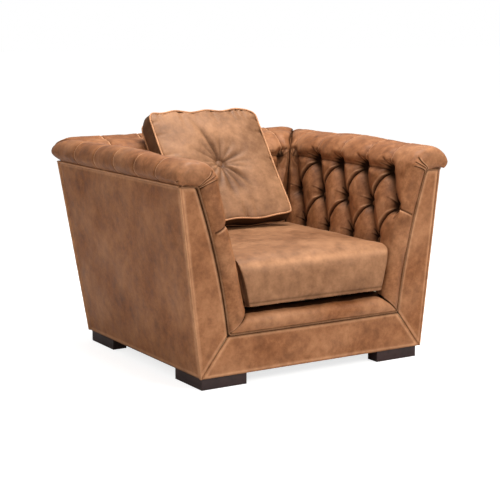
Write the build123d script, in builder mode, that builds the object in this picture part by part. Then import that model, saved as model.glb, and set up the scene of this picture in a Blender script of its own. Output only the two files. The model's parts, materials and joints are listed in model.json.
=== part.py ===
from build123d import *
import os
from math import atan2, cos, hypot, radians, sin

# Upholstered club armchair with flared plain outsides, deep buttoned insides, a loose
# seat cushion and a loose scatter cushion, on four low L-shaped feet.
# Millimetres, +Z up, the front faces -Y. The origin is on the floor, under the middle
# of the chair's overall width and depth.

# ---------------------------------------------------------------- driving dimensions
overall_depth = 1040.0
base_half_width = 473.0      # outside of the body at its lower edge
belt_half_width = 550.0      # outside of the body at the welt under the roll
base_depth = 895.0
belt_depth = 986.0
base_z = 42.0                # underside of the body, which is the feet's height
belt_z = 711.0               # welt line under the overhanging roll
crest_z = 803.0              # highest line of the arms and back
roll_z = 758.0               # height where the roll is widest
roll_overhang = 28.0         # how far the roll passes the welt line
front_overhang = 26.0        # how far the roll's front end passes the facings
deck_z = 262.0               # height where the padded walls begin to lean outwards
deck_top = 267.0             # surface that the seat cushion lies on
band_z = 186.0               # lower edge of the padded band round the front opening
band_top_z = 250.0
band_radius = 18.0
facing_board_thickness = 10.5
dust_cover_thickness = 1.5

arm_wall_x = 292.0           # inner face of the arm padding, at the deck
arm_wall_top_x = 394.0       # the same face, at the first row of buttons
wall_top_z = 703.0
shoulder_z = 734.0           # where the padding's face turns into the roll
roll_rise_z = 781.0
roll_fall_z = 790.0
roll_under_z = 730.0
timber_top_z = 774.0         # underside of the padding over the top rails
pad_thickness = 75.0
leather = 4.0
board = 5.0                  # fibreboard that the buttons are pulled against
clear = 1.0                  # gap between neighbouring pieces of the fixed body

button_radius = 11.0
button_cap_height = 5.0
button_shank_radius = 2.0
button_toggle_radius = 7.0
button_toggle_height = 3.0
button_pocket_radius = 15.0
button_starts_arm = (122.0, 41.0, 122.0)     # first button of each row, from the band's face
twine_hole_radius = 4.0
button_pitch_arm = 161.0
button_pitch_back = 152.0
button_half_counts_back = (2.5, 2.0, 1.5)    # half of each row's length, in pitches
button_rows_z = (703.0, 575.0, 447.0)
button_recess = (50.0, 36.0, 31.0)     # depth of each row's buttons under the padding's face

seat_front_overhang = 16.0   # the seat cushion's face stands this far before the facings
seat_bottom_z = 268.0
seat_edge_z = 440.0
seat_crown_z = 449.0
seat_half_width_bottom = 284.0
seat_half_width_top = 322.0
seat_depth_bottom = 668.0
seat_depth_top = 706.0

pillow_size = 490.0
pillow_border = 80.0         # distance between the two pipings
pillow_thickness = 98.0
pillow_lean = 36.9           # degrees, its top leans towards the back
pillow_centre = (-16.0, 181.0, 680.0)
pillow_corner_radius = 40.0
pillow_edge_radius = 34.0
pillow_dimple_radius = 52.0  # the dimple round each button: its mouth, floor and depth
pillow_dimple_floor = 19.0
pillow_dimple_depth = 26.0
pillow_button_radius = 14.0
pillow_button_height = 8.0
piping_radius = 3.5

zip_length = 500.0
zip_tape_width = 26.0
zip_teeth_width = 5.0
zip_tape_thickness = 1.2
zip_teeth_height = 0.8
slider_start = -236.0        # from the middle of the zip, at its closed end

foot_length_front = 180.0
foot_length_side = 188.0
foot_width = 56.0
foot_inset = 9.0
foot_bore_radius = 6.0
screw_head_radius = 5.0
screw_head_height = 4.0
screw_shank_radius = 2.5
screw_seat_z = 12.0

welt_radius = 3.2
frame_top_z = 717.0          # top of the posts
top_rail_z = 772.0           # top of the rails inside the roll
rail_top_z = 236.0           # top of the rails that carry the springs
side_rail_top_z = 186.0
rear_rail_top_z = 190.0
tack_rail_top_z = 300.0
rear_post_width = 60.0
rear_post_depth = 58.0

spring_wire_radius = 1.9
spring_wave = 44.0           # width of the zigzag
spring_step = 26.0
spring_spacing = 112.0
spring_bend_radius = 9.0
spring_count = 5

# ---------------------------------------------------------------- derived values
front_y = -overall_depth / 2 + front_overhang        # plane of the front facings
base_rear_y = front_y + base_depth
belt_rear_y = front_y + belt_depth
back_wall_y = 180.0          # inner face of the back padding, at the deck
back_wall_top_y = 285.0      # the same face, at the first row of buttons
back_crest_y = 415.0
arm_crest_x = 500.0
side_flare = (belt_half_width - base_half_width) / (belt_z - base_z)
rear_flare = (belt_depth - base_depth) / (belt_z - base_z)
arm_slope = (arm_wall_top_x - arm_wall_x) / (wall_top_z - deck_z)
back_slope = (back_wall_top_y - back_wall_y) / (wall_top_z - deck_z)
band_front_y = front_y - 15.0
facing_back_y = front_y + 16.0
post_depth = 18.0
front_rail_y = facing_back_y + post_depth + clear
rail_thickness = 28.0
spring_z = 240.0
spring_rear_y = 272.0

parts_folder = "parts"
os.makedirs(parts_folder, exist_ok=True)


def save(builder, name):
    """Labels a finished piece and writes it as its own file."""
    builder.part.label = name
    export_step(builder.part, f"{parts_folder}/{name}.step")


def side_x(z):
    """Outside of the body at height z."""
    return base_half_width + side_flare * (z - base_z)


def arm_x(z):
    """Inner face of the arm padding at height z; it stands upright under the deck."""
    return arm_wall_x + arm_slope * max(z - deck_z, 0)


def back_y(z):
    """Inner face of the back padding at height z."""
    return back_wall_y + back_slope * max(z - deck_z, 0)


def make_box(x0, x1, y0, y1, z0, z1):
    """A rectangular member between two corners, as its own piece."""
    with BuildPart() as box:
        with BuildSketch(Plane.XY.offset(z0)):
            with Locations(((x0 + x1) / 2, (y0 + y1) / 2)):
                Rectangle(x1 - x0, y1 - y0)
        extrude(amount=z1 - z0)
    return box


def mirrored(builder):
    """The same piece on the other side of the chair."""
    with BuildPart() as other:
        mirror(builder.part, about=Plane.YZ)
    return other


def save_pair(right, name):
    """Writes a right-hand piece and its left-hand twin."""
    save(right, f"{name}_right")
    save(mirrored(right), f"{name}_left")


def rod(start, end, radius):
    """Adds a straight round bar between two points to the open part."""
    direction = Vector(*end) - Vector(*start)
    with BuildSketch(Plane(origin=start, z_dir=direction)) as section:
        Circle(radius)
    extrude(section.sketch, amount=direction.length)


# ---------------------------------------------------------------- padding sections
# A section is drawn in a plane whose first axis points from the seat outwards and
# whose second axis points up, so one outline serves the arms and the back.
def outer_outline(wall, top, crest, belt):
    """The closed outside line of a padded wall: up its face, over the roll, to the welt."""
    roll = belt + roll_overhang
    shoulder = top + 0.235 * (shoulder_z - wall_top_z)
    with BuildLine() as outline:
        Polyline((wall, band_z - 60), (wall, deck_z), (top, wall_top_z), (shoulder, shoulder_z))
        mid_rise = shoulder + 0.3 * (crest - shoulder)
        ThreePointArc((shoulder, shoulder_z), (mid_rise, roll_rise_z), (crest, crest_z))
        ThreePointArc((crest, crest_z), (roll - 13, roll_fall_z), (roll, roll_z))
        ThreePointArc((roll, roll_z), (roll - 6, roll_under_z), (belt + 1, belt_z))
        Polyline((belt + 1, belt_z), (belt - 6, 600), (wall + 150, band_z - 60), (wall, band_z - 60))
    return outline.edges()


def padding_zone(wall, top, belt, bottom):
    """The room between a wall's outside line and the timber that carries the padding."""
    inner_top = top + pad_thickness + 3
    roll = belt + 2 * roll_overhang
    with BuildLine() as zone:
        Polyline(
            (wall - 40, bottom),
            (wall + pad_thickness, bottom),
            (wall + pad_thickness, deck_z),
            (inner_top, wall_top_z + 13),
            (inner_top, timber_top_z),
            (belt - 4, timber_top_z),
            (belt - 4, belt_z),
            (roll, belt_z),
            (roll, crest_z + 20),
            (wall - 40, crest_z + 20),
            (wall - 40, bottom),
        )
    return zone.edges()


def padding_section(plane, wall, top, crest, belt, zone, inset):
    """The part of a padded wall in a zone, drawn in by inset from the outside line."""
    with BuildSketch(plane) as section:
        make_face(outer_outline(wall, top, crest, belt))
        if inset:
            offset(amount=-inset, mode=Mode.REPLACE)
        make_face(zone, mode=Mode.INTERSECT)
    return section


def roll_zone(wall, belt):
    """The whole roll above the welt line, where no timber fills it."""
    roll = belt + 2 * roll_overhang
    with BuildLine() as zone:
        Polyline(
            (wall - 40, belt_z),
            (roll, belt_z),
            (roll, crest_z + 20),
            (wall - 40, crest_z + 20),
            (wall - 40, belt_z),
        )
    return zone.edges()


# Each rear corner is mitred in a plane through the inner crease and the outer corner.
crease_low = Vector(arm_wall_x, back_wall_y, deck_z)
crease_high = Vector(arm_wall_top_x, back_wall_top_y, wall_top_z)
corner_high = Vector(belt_half_width, belt_rear_y, wall_top_z)
mitre_normal = (crease_high - crease_low).cross(corner_high - crease_high).normalized()
mitre_right = Plane(origin=crease_high, z_dir=mitre_normal)
mitre_left = Plane(
    origin=(-crease_high.X, crease_high.Y, crease_high.Z),
    z_dir=(-mitre_normal.X, mitre_normal.Y, mitre_normal.Z),
)
arm_probe = Vector(belt_half_width, 0, wall_top_z)
arm_side = Keep.TOP if (arm_probe - crease_high).dot(mitre_normal) > 0 else Keep.BOTTOM
back_side = Keep.BOTTOM if arm_side == Keep.TOP else Keep.TOP
arm_clearance = 6.0 if arm_side == Keep.TOP else -6.0


def arm_solid(inset):
    """The right arm's padding out to the leather's outside, or inside it with an inset."""
    plane = Plane(origin=(0, -overall_depth / 2 + inset, 0), x_dir=(1, 0, 0), z_dir=(0, -1, 0))
    line = (arm_wall_x, arm_wall_top_x, arm_crest_x, belt_half_width)
    wall_zone = padding_zone(arm_wall_x, arm_wall_top_x, belt_half_width, band_z)
    section = padding_section(plane, *line, wall_zone, inset)
    roll_end = padding_section(plane, *line, roll_zone(arm_wall_x, belt_half_width), inset)
    band_end = front_rail_y - clear
    with BuildPart() as solid:
        extrude(section.sketch, amount=overall_depth - 10, dir=(0, 1, 0))
        extrude(roll_end.sketch, amount=facing_back_y - clear + overall_depth / 2 - inset, dir=(0, 1, 0))
        split(bisect_by=mitre_right, keep=arm_side)
        with BuildSketch(Plane.XY.offset(0)) as step:
            with Locations((400, band_front_y + inset - 50)):
                Rectangle(500, 100)
        extrude(step.sketch, amount=belt_z + inset, mode=Mode.SUBTRACT)
        with BuildSketch(Plane.XY.offset(0)) as under:
            with Locations((400, band_end + 500)):
                Rectangle(500, 1000)
        extrude(under.sketch, amount=deck_z + 4, mode=Mode.SUBTRACT)
    return solid


def back_solid(inset):
    """The back's padding, between the two mitred corners."""
    plane = Plane(origin=(0, 0, 0), x_dir=(0, 1, 0), z_dir=(1, 0, 0))
    zone = padding_zone(back_wall_y, back_wall_top_y, belt_rear_y, deck_z + 4)
    section = padding_section(plane, back_wall_y, back_wall_top_y, back_crest_y, belt_rear_y, zone, inset)
    with BuildPart() as solid:
        extrude(section.sketch, amount=belt_half_width + roll_overhang + 20, both=True)
        split(bisect_by=mitre_right, keep=back_side)
        split(bisect_by=mitre_left, keep=back_side)
    return solid


def arm_button_planes():
    """Where the right arm's buttons sit; their axes point out of the padding."""
    planes = []
    for row_z, recess, start in zip(button_rows_z, button_recess, button_starts_arm):
        count = 4 if row_z == button_rows_z[-1] else 5
        for i in range(count):
            y = front_y + 4 + start + i * button_pitch_arm
            planes.append(
                Plane(
                    origin=(arm_x(row_z) + recess, y, row_z + recess * -arm_slope),
                    x_dir=(0, 1, 0),
                    z_dir=(-1, 0, arm_slope),
                )
            )
    return planes


def back_button_planes():
    """Where the back's buttons sit, in half-offset rows about the middle."""
    planes = []
    for row_z, recess, half_count in zip(button_rows_z, button_recess, button_half_counts_back):
        for i in range(int(2 * half_count + 1)):
            x = (i - half_count) * button_pitch_back
            planes.append(
                Plane(
                    origin=(x, back_y(row_z) + recess, row_z + recess * -back_slope),
                    x_dir=(1, 0, 0),
                    z_dir=(0, -1, back_slope),
                )
            )
    return planes


def drilled(body, planes, radius, depth_out, depth_in):
    """Cuts a round hole along each button's axis through a piece."""
    with BuildPart() as result:
        add(body.part)
        for plane in planes:
            with BuildSketch(plane.offset(-depth_in)) as hole:
                Circle(radius)
            extrude(hole.sketch, amount=depth_in + depth_out, mode=Mode.SUBTRACT)
    return result


def leather_over(outside, inside):
    """The leather cover left when the filling is taken out of the whole."""
    with BuildPart() as cover:
        add(outside.part)
        add(inside.part, mode=Mode.SUBTRACT)
    return cover


def make_button(shank):
    """A covered button: domed cap, shank through the board, toggle behind it."""
    with BuildPart() as button:
        with BuildSketch(Plane.XY.offset(-shank - button_toggle_height)):
            Circle(button_toggle_radius)
        extrude(amount=button_toggle_height)
        with BuildSketch(Plane.XY.offset(-shank)):
            Circle(button_shank_radius)
        extrude(amount=shank)
        with BuildSketch():
            Circle(button_radius)
        extrude(amount=button_cap_height)
        fillet(button.edges().group_by(Axis.Z)[-1], button_cap_height - 1)
    return button


def make_buttons(planes, recesses):
    """All the buttons of one panel, each reaching its own depth to the board."""
    with BuildPart() as group:
        for plane, recess in zip(planes, recesses):
            button = make_button(pad_thickness - recess + board + 6)
            with Locations(Location(plane)):
                add(button.part)
    return group


def row_recesses(planes):
    """The recess of each plane's row."""
    nearest = []
    for plane in planes:
        gaps = [abs(plane.origin.Z - z) for z in button_rows_z]
        nearest.append(button_recess[gaps.index(min(gaps))])
    return nearest


def make_padding():
    """Foam, leather, boards and buttons of both arms and the back."""
    arm_planes = arm_button_planes()
    arm_foam = drilled(arm_solid(leather), arm_planes, button_pocket_radius, 70, 70)
    arm_whole = drilled(arm_solid(0), arm_planes, button_pocket_radius, 70, 70)
    save_pair(arm_foam, "arm_foam")
    save_pair(leather_over(arm_whole, arm_foam), "inside_arm_leather")
    save_pair(make_buttons(arm_planes, row_recesses(arm_planes)), "arm_buttons")

    back_planes = back_button_planes()
    back_foam = drilled(back_solid(leather), back_planes, button_pocket_radius, 70, 70)
    back_whole = drilled(back_solid(0), back_planes, button_pocket_radius, 70, 70)
    save(back_foam, "back_foam")
    save(leather_over(back_whole, back_foam), "inside_back_leather")
    save(make_buttons(back_planes, row_recesses(back_planes)), "back_buttons")

    low, high = deck_z + 6, 710.0
    gap = pad_thickness + clear
    with BuildPart() as arm_board:
        with BuildSketch(Plane.XZ.offset(-front_rail_y)) as strip:
            Polygon(
                (arm_x(low) + gap, low),
                (arm_x(low) + gap + board, low),
                (arm_x(high) + gap + board, high),
                (arm_x(high) + gap, high),
                align=None,
            )
        extrude(strip.sketch, amount=900, dir=(0, 1, 0))
        split(bisect_by=mitre_right.offset(arm_clearance), keep=arm_side)
    save_pair(drilled(arm_board, arm_planes, twine_hole_radius, 20, 90), "arm_board")

    with BuildPart() as back_board:
        with BuildSketch(Plane.YZ) as strip:
            Polygon(
                (back_y(low) + gap, low),
                (back_y(low) + gap + board, low),
                (back_y(high) + gap + board, high),
                (back_y(high) + gap, high),
                align=None,
            )
        extrude(strip.sketch, amount=belt_half_width, both=True)
        split(bisect_by=mitre_right.offset(-arm_clearance), keep=back_side)
        split(bisect_by=mitre_left.offset(-arm_clearance), keep=back_side)
    save(drilled(back_board, back_planes, twine_hole_radius, 20, 90), "back_board")


# ---------------------------------------------------------------- timber frame
def make_frame():
    """Rails, posts, blocks and tack rails, glued and screwed together."""
    rail_low = base_z + 2
    side_out = base_half_width - 9
    side_in = side_out - rail_thickness
    rear_out = base_rear_y - 10
    rear_in = rear_out - rail_thickness

    half = side_in - clear
    front_rail = make_box(-half, half, front_rail_y, front_rail_y + rail_thickness, rail_low, rail_top_z)
    save(front_rail, "seat_rail_front")
    save(make_box(-400, 400, rear_in, rear_out, rail_low, rear_rail_top_z), "seat_rail_rear")
    side_rail = make_box(side_in, side_out, front_rail_y, rear_in - 62, rail_low, side_rail_top_z)
    save_pair(side_rail, "seat_rail")
    spring_rail = make_box(-360, 360, spring_rear_y, spring_rear_y + rail_thickness, 150, rail_top_z)
    save(spring_rail, "spring_rail_rear")

    top = frame_top_z
    with BuildPart() as front_post:
        with BuildSketch(Plane.XZ.offset(-facing_back_y)) as shape:
            Polygon(
                (arm_x(rail_low) + pad_thickness + clear, rail_low),
                (side_x(rail_low) - 6, rail_low),
                (side_x(top) - 6, top),
                (arm_x(top) + pad_thickness + 4, top),
                (arm_x(deck_z) + pad_thickness + clear, deck_z),
                align=None,
            )
        extrude(shape.sketch, amount=post_depth, dir=(0, 1, 0))
    save_pair(front_post, "front_post")

    with BuildPart() as rear_post:
        with BuildSketch(Plane.XY.offset(rail_low)):
            with Locations((side_out - 31, rear_in - 30)):
                Rectangle(rear_post_width, rear_post_depth)
        with BuildSketch(Plane.XY.offset(top)):
            with Locations((509, 446)):
                Rectangle(rear_post_width, rear_post_depth)
        loft()
    save_pair(rear_post, "rear_post")

    arm_rail = make_box(474.5, 543, facing_back_y, 482, top + clear, top_rail_z)
    save_pair(arm_rail, "arm_top_rail")
    save(make_box(-472, 472, 396, 486, top + clear, top_rail_z), "back_top_rail")
    arm_tack = make_box(388, 416, front_rail_y + 30, 262, deck_z, tack_rail_top_z)
    save_pair(arm_tack, "arm_tack_rail")
    back_tack = make_box(-355, 355, spring_rear_y + 8, spring_rear_y + 36, deck_z, tack_rail_top_z)
    save(back_tack, "back_tack_rail")

    with BuildPart() as blocks:
        for sx in (-1, 1):
            for y, sy in ((front_rail_y + 29, 1), (rear_in - 1, -1)):
                with BuildSketch(Plane.XY.offset(rail_low)) as wedge:
                    x = sx * (side_in - clear)
                    reach = 70 if sy > 0 else 55
                    if sy < 0:
                        x = sx * (side_in - 35)
                    Polygon((x, y), (x - sx * reach, y), (x, y + sy * reach), align=None)
                extrude(wedge.sketch, amount=90)
    save(blocks, "corner_blocks")


# ---------------------------------------------------------------- seat suspension
def make_suspension():
    """Zigzag springs, their clips, and the layers of the deck above them."""
    start_y = front_rail_y + 14
    end_y = spring_rear_y + 14
    bends = int((end_y - start_y) / spring_step)
    pitch = (end_y - start_y) / bends
    with BuildPart() as springs:
        for i in range(spring_count):
            x = (i - (spring_count - 1) / 2) * spring_spacing
            turns = []
            for k in range(bends + 1):
                shift = 0 if k in (0, bends) else (spring_wave / 2 if k % 2 else -spring_wave / 2)
                turns.append((x + shift, start_y + k * pitch, spring_z))
            with BuildLine() as path:
                FilletPolyline(*turns, radius=spring_bend_radius)
            with BuildSketch(Plane(origin=path.line @ 0, z_dir=path.line % 0)) as wire:
                Circle(spring_wire_radius)
            sweep(wire.sketch, path=path.line)
    save(springs, "zigzag_springs")

    with BuildPart() as clips:
        for i in range(spring_count):
            x = (i - (spring_count - 1) / 2) * spring_spacing
            for y in (start_y - 7, end_y + 7):
                with BuildSketch(Plane.XY.offset(rail_top_z)) as foot:
                    with Locations((x, y)):
                        Rectangle(18, 9)
                extrude(foot.sketch, amount=7)
    save(clips, "spring_clips")

    half = arm_wall_x - 2
    front = front_rail_y + 1
    rear = back_wall_y - 2
    save(make_box(-half, half, front, spring_rear_y - 10, 244.5, 246), "deck_cloth")
    save(make_box(-half, half, front, rear, 246.5, deck_top - 2.5), "deck_pad")
    save(make_box(-half, half, front, rear, deck_top - 2, deck_top), "deck_cover")


# ---------------------------------------------------------------- plain outsides
def make_outsides():
    """The flared leather outsides, the front facings on their board, and the band."""
    rise = belt_z - base_z
    with BuildPart() as outside_arm:
        slope = hypot(belt_half_width - base_half_width, rise)
        up = Vector(belt_half_width - base_half_width, 0, rise).normalized()
        plane = Plane(
            origin=(base_half_width, front_y + 5, base_z),
            x_dir=(0, 1, 0),
            z_dir=Vector(0, 1, 0).cross(up),
        )
        with BuildSketch(plane) as shape:
            Polygon((0, 0), (base_depth - 10, 0), (belt_depth - 10, slope - 1), (0, slope - 1), align=None)
        extrude(shape.sketch, amount=-leather)
    save_pair(outside_arm, "outside_arm_leather")

    with BuildPart() as outside_back:
        slope = hypot(belt_depth - base_depth, rise)
        up = Vector(0, belt_depth - base_depth, rise).normalized()
        plane = Plane(
            origin=(0, base_rear_y, base_z), x_dir=(-1, 0, 0), z_dir=Vector(-1, 0, 0).cross(up)
        )
        low, high = base_half_width - 5.5, belt_half_width - 5.5
        with BuildSketch(plane) as shape:
            Polygon((-low, 0), (low, 0), (high, slope - 1), (-high, slope - 1), align=None)
        extrude(shape.sketch, amount=-leather)
    save(outside_back, "outside_back_leather")

    gap = pad_thickness + 10
    low_in = arm_x(band_z) + gap
    high_in = arm_x(belt_z) + gap
    with BuildPart() as facing:
        with BuildSketch(Plane.XZ.offset(-front_y)) as shape:
            Polygon(
                (base_half_width, base_z),
                (belt_half_width, belt_z - 1),
                (high_in, belt_z - 1),
                (arm_x(deck_z) + gap, deck_z),
                (low_in, band_z - 10),
                align=None,
            )
        extrude(shape.sketch, amount=leather, dir=(0, 1, 0))
    save_pair(facing, "front_facing_leather")

    with BuildPart() as apron:
        with BuildSketch(Plane.XZ.offset(-front_y)) as shape:
            Polygon(
                (-base_half_width + 1, base_z),
                (base_half_width - 1, base_z),
                (low_in - 1, band_z - 10),
                (-low_in + 1, band_z - 10),
                align=None,
            )
        extrude(shape.sketch, amount=leather, dir=(0, 1, 0))
    save(apron, "front_rail_leather")

    with BuildPart() as facing_board:
        with BuildSketch(Plane.XZ.offset(-front_y - leather - 0.5)) as shape:
            Polygon(
                (-base_half_width + 6, base_z),
                (base_half_width - 6, base_z),
                (belt_half_width - 6, belt_z - 3),
                (high_in, belt_z - 3),
                (arm_x(deck_z) + gap, deck_z),
                (low_in, band_z - 10),
                (-low_in, band_z - 10),
                (-arm_x(deck_z) - gap, deck_z),
                (-high_in, belt_z - 3),
                (-belt_half_width + 6, belt_z - 3),
                align=None,
            )
        extrude(shape.sketch, amount=facing_board_thickness, dir=(0, 1, 0))
    save(facing_board, "facing_board")

    half = arm_wall_x - clear
    band_depth = front_rail_y - clear - band_front_y
    band_height = band_top_z - band_z
    with BuildPart() as band_foam:
        with BuildSketch(Plane.YZ.offset(-half)) as shape:
            with Locations((band_front_y + band_depth / 2, (band_z + band_top_z) / 2)):
                RectangleRounded(band_depth - 2 * leather, band_height - 2 * leather, band_radius - leather)
        extrude(shape.sketch, amount=2 * half)
    save(band_foam, "front_band_foam")
    with BuildPart() as band_cover:
        with BuildSketch(Plane.YZ.offset(-half)) as shape:
            with Locations((band_front_y + band_depth / 2, (band_z + band_top_z) / 2)):
                RectangleRounded(band_depth, band_height, band_radius)
        extrude(shape.sketch, amount=2 * half)
        add(band_foam.part, mode=Mode.SUBTRACT)
    save(band_cover, "front_band_leather")

    dust_cover = make_box(-460, 460, front_y + 20, base_rear_y - 14, base_z, base_z + dust_cover_thickness)
    save(dust_cover, "dust_cover")


def make_welts():
    """Leather piping on the corners, under the roll and round the front opening."""
    with BuildPart() as corners:
        for s in (-1, 1):
            low_x, high_x = base_half_width + 2.8, belt_half_width + 2.8
            front = front_y + 1
            rod((s * low_x, front, base_z), (s * high_x, front, belt_z - 4), welt_radius - 1)
            rod(
                (s * (low_x - 2), base_rear_y + 1, base_z),
                (s * (high_x - 2), belt_rear_y + 1, belt_z - 4),
                welt_radius - 1,
            )
    save(corners, "corner_welts")

    height = belt_z - welt_radius - 0.4
    with BuildPart() as under_roll:
        for s in (-1, 1):
            x = s * (belt_half_width + welt_radius + 0.6)
            rod((x, front_y + 5, height), (x, belt_rear_y - 4, height), welt_radius)
        y = belt_rear_y + welt_radius + 0.6
        rod((-belt_half_width + 6, y, height), (belt_half_width - 6, y, height), welt_radius)
    save(under_roll, "roll_welts")

    line = pad_thickness + 5.5
    low = arm_x(band_z) + line
    high = arm_x(belt_z) + line
    top = belt_z - 5
    with BuildPart() as opening:
        with BuildLine() as path:
            FilletPolyline(
                (-high, front_y - 3, top),
                (-arm_x(deck_z) - line, front_y - 3, deck_z),
                (-low, front_y - 3, band_z - 5.5),
                (low, front_y - 3, band_z - 5.5),
                (arm_x(deck_z) + line, front_y - 3, deck_z),
                (high, front_y - 3, top),
                radius=9,
            )
        with BuildSketch(Plane(origin=path.line @ 0, z_dir=path.line % 0)) as wire:
            Circle(welt_radius)
        sweep(wire.sketch, path=path.line)
    save(opening, "opening_welt")


# ---------------------------------------------------------------- loose cushions
def cushion_solid(inset):
    """The seat cushion: flared sides, crowned top, rounded front edge."""
    front = front_y - seat_front_overhang + inset
    rear_low = front_y - seat_front_overhang + seat_depth_bottom - inset
    rear_high = front_y - seat_front_overhang + seat_depth_top - inset
    low, high = seat_bottom_z + inset, seat_edge_z - inset
    with BuildPart() as cushion:
        with BuildSketch(Plane.YZ) as side:
            with BuildLine():
                Polyline((front, high - 32), (front, low), (rear_low, low), (rear_high, high))
                ThreePointArc(
                    (rear_high, high), ((front + rear_high) / 2, seat_crown_z - inset), (front + 40, high - 2)
                )
                ThreePointArc((front + 40, high - 2), (front + 11, high - 11), (front, high - 32))
            make_face()
        extrude(side.sketch, amount=seat_half_width_top + 20, both=True)
        with BuildSketch(Plane.XZ.offset(-front + 10), mode=Mode.PRIVATE) as face:
            wide, narrow = seat_half_width_top - inset, seat_half_width_bottom - inset
            Polygon(
                (-narrow, seat_bottom_z),
                (narrow, seat_bottom_z),
                (wide, seat_crown_z + 20),
                (-wide, seat_crown_z + 20),
                align=None,
            )
        extrude(face.sketch, amount=900, dir=(0, 1, 0), mode=Mode.INTERSECT)
    return cushion


def make_seat_cushion():
    """Cover, foam core and zip of the loose seat cushion."""
    core = cushion_solid(leather)
    whole = cushion_solid(0)
    save(core, "seat_cushion_core")
    save(leather_over(whole, core), "seat_cushion_cover")

    # The zip lies on the rear face, halfway up, and its slider runs along it.
    mid_z = (seat_bottom_z + seat_edge_z) / 2
    lean = atan2(seat_depth_top - seat_depth_bottom, seat_edge_z - seat_bottom_z)
    face_y = front_y - seat_front_overhang + (seat_depth_bottom + seat_depth_top) / 2
    zip_plane = Plane(
        origin=(0, face_y + 0.4 * cos(lean), mid_z), x_dir=(-1, 0, 0), z_dir=(0, cos(lean), -sin(lean))
    )
    with BuildPart() as zip_tape:
        with BuildSketch(zip_plane) as tape:
            Rectangle(zip_length, zip_tape_width)
        extrude(tape.sketch, amount=zip_tape_thickness)
        with BuildSketch(zip_plane.offset(zip_tape_thickness)) as teeth:
            Rectangle(zip_length, zip_teeth_width)
        extrude(teeth.sketch, amount=zip_teeth_height)
    save(zip_tape, "seat_zip")
    with BuildPart() as slider:
        with BuildSketch(zip_plane.offset(2.5)) as shell:
            with Locations((slider_start, 0)):
                RectangleRounded(14, 11, 2.5)
        extrude(shell.sketch, amount=2.0)
        with BuildSketch(zip_plane.offset(4.5)) as pull:
            with Locations((slider_start, -12)):
                RectangleRounded(7, 30, 3)
        extrude(pull.sketch, amount=1.4)
    save(slider, "seat_zip_slider")


def pillow_solid(plane, inset):
    """The scatter cushion as a soft-edged square with a dimple at each button."""
    size = pillow_size - 2 * inset
    thickness = pillow_thickness - 2 * inset
    with BuildPart() as pillow:
        with BuildSketch(plane.offset(-thickness / 2)) as square:
            RectangleRounded(size, size, pillow_corner_radius - inset)
        extrude(square.sketch, amount=thickness)
        broad_faces = pillow.faces().filter_by(lambda f: abs(f.normal_at().dot(plane.z_dir)) > 0.99)
        fillet(broad_faces.edges(), pillow_edge_radius - inset)
        for side in (-1, 1):
            outward = Plane(origin=plane.origin, x_dir=plane.x_dir, z_dir=plane.z_dir * side)
            with BuildSketch(outward.offset(thickness / 2 + 0.5)) as rim:
                Circle(pillow_dimple_radius + inset)
            with BuildSketch(outward.offset(thickness / 2 - pillow_dimple_depth)) as base:
                Circle(pillow_dimple_floor + inset)
            loft(sections=[rim.sketch, base.sketch], mode=Mode.SUBTRACT)
    return pillow


def make_pillow():
    """Cover, filling, piping and buttons of the scatter cushion."""
    lean = radians(pillow_lean)
    face = Plane(origin=pillow_centre, x_dir=(1, 0, 0), z_dir=(0, -cos(lean), sin(lean)))
    filling = pillow_solid(face, leather)
    whole = pillow_solid(face, 0)
    with BuildPart() as twine_hole:
        with BuildSketch(face.offset(-60)) as hole:
            Circle(3)
        extrude(hole.sketch, amount=120)
    with BuildPart() as drilled_filling:
        add(filling.part)
        add(twine_hole.part, mode=Mode.SUBTRACT)
    with BuildPart() as cover:
        add(whole.part)
        add(filling.part, mode=Mode.SUBTRACT)
        add(twine_hole.part, mode=Mode.SUBTRACT)
    save(drilled_filling, "pillow_filling")
    save(cover, "pillow_cover")

    with BuildPart() as piping:
        ring_size = pillow_size + 2 * piping_radius + 1
        for side in (-1, 1):
            level = face.offset(side * pillow_border / 2)
            outside = ring_size + 2 * piping_radius
            inside = ring_size - 2 * piping_radius
            with BuildSketch(level.offset(-piping_radius)) as ring:
                RectangleRounded(outside, outside, pillow_corner_radius + 2 * piping_radius)
                RectangleRounded(inside, inside, pillow_corner_radius, mode=Mode.SUBTRACT)
            extrude(ring.sketch, amount=2 * piping_radius)
    save(piping, "pillow_piping")

    with BuildPart() as buttons:
        for side in (-1, 1):
            seat = face.offset(side * (pillow_thickness / 2 - pillow_dimple_depth + 0.5))
            with BuildSketch(seat) as disc:
                Circle(pillow_button_radius)
            extrude(disc.sketch, amount=side * pillow_button_height)
    save(buttons, "pillow_buttons")


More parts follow.
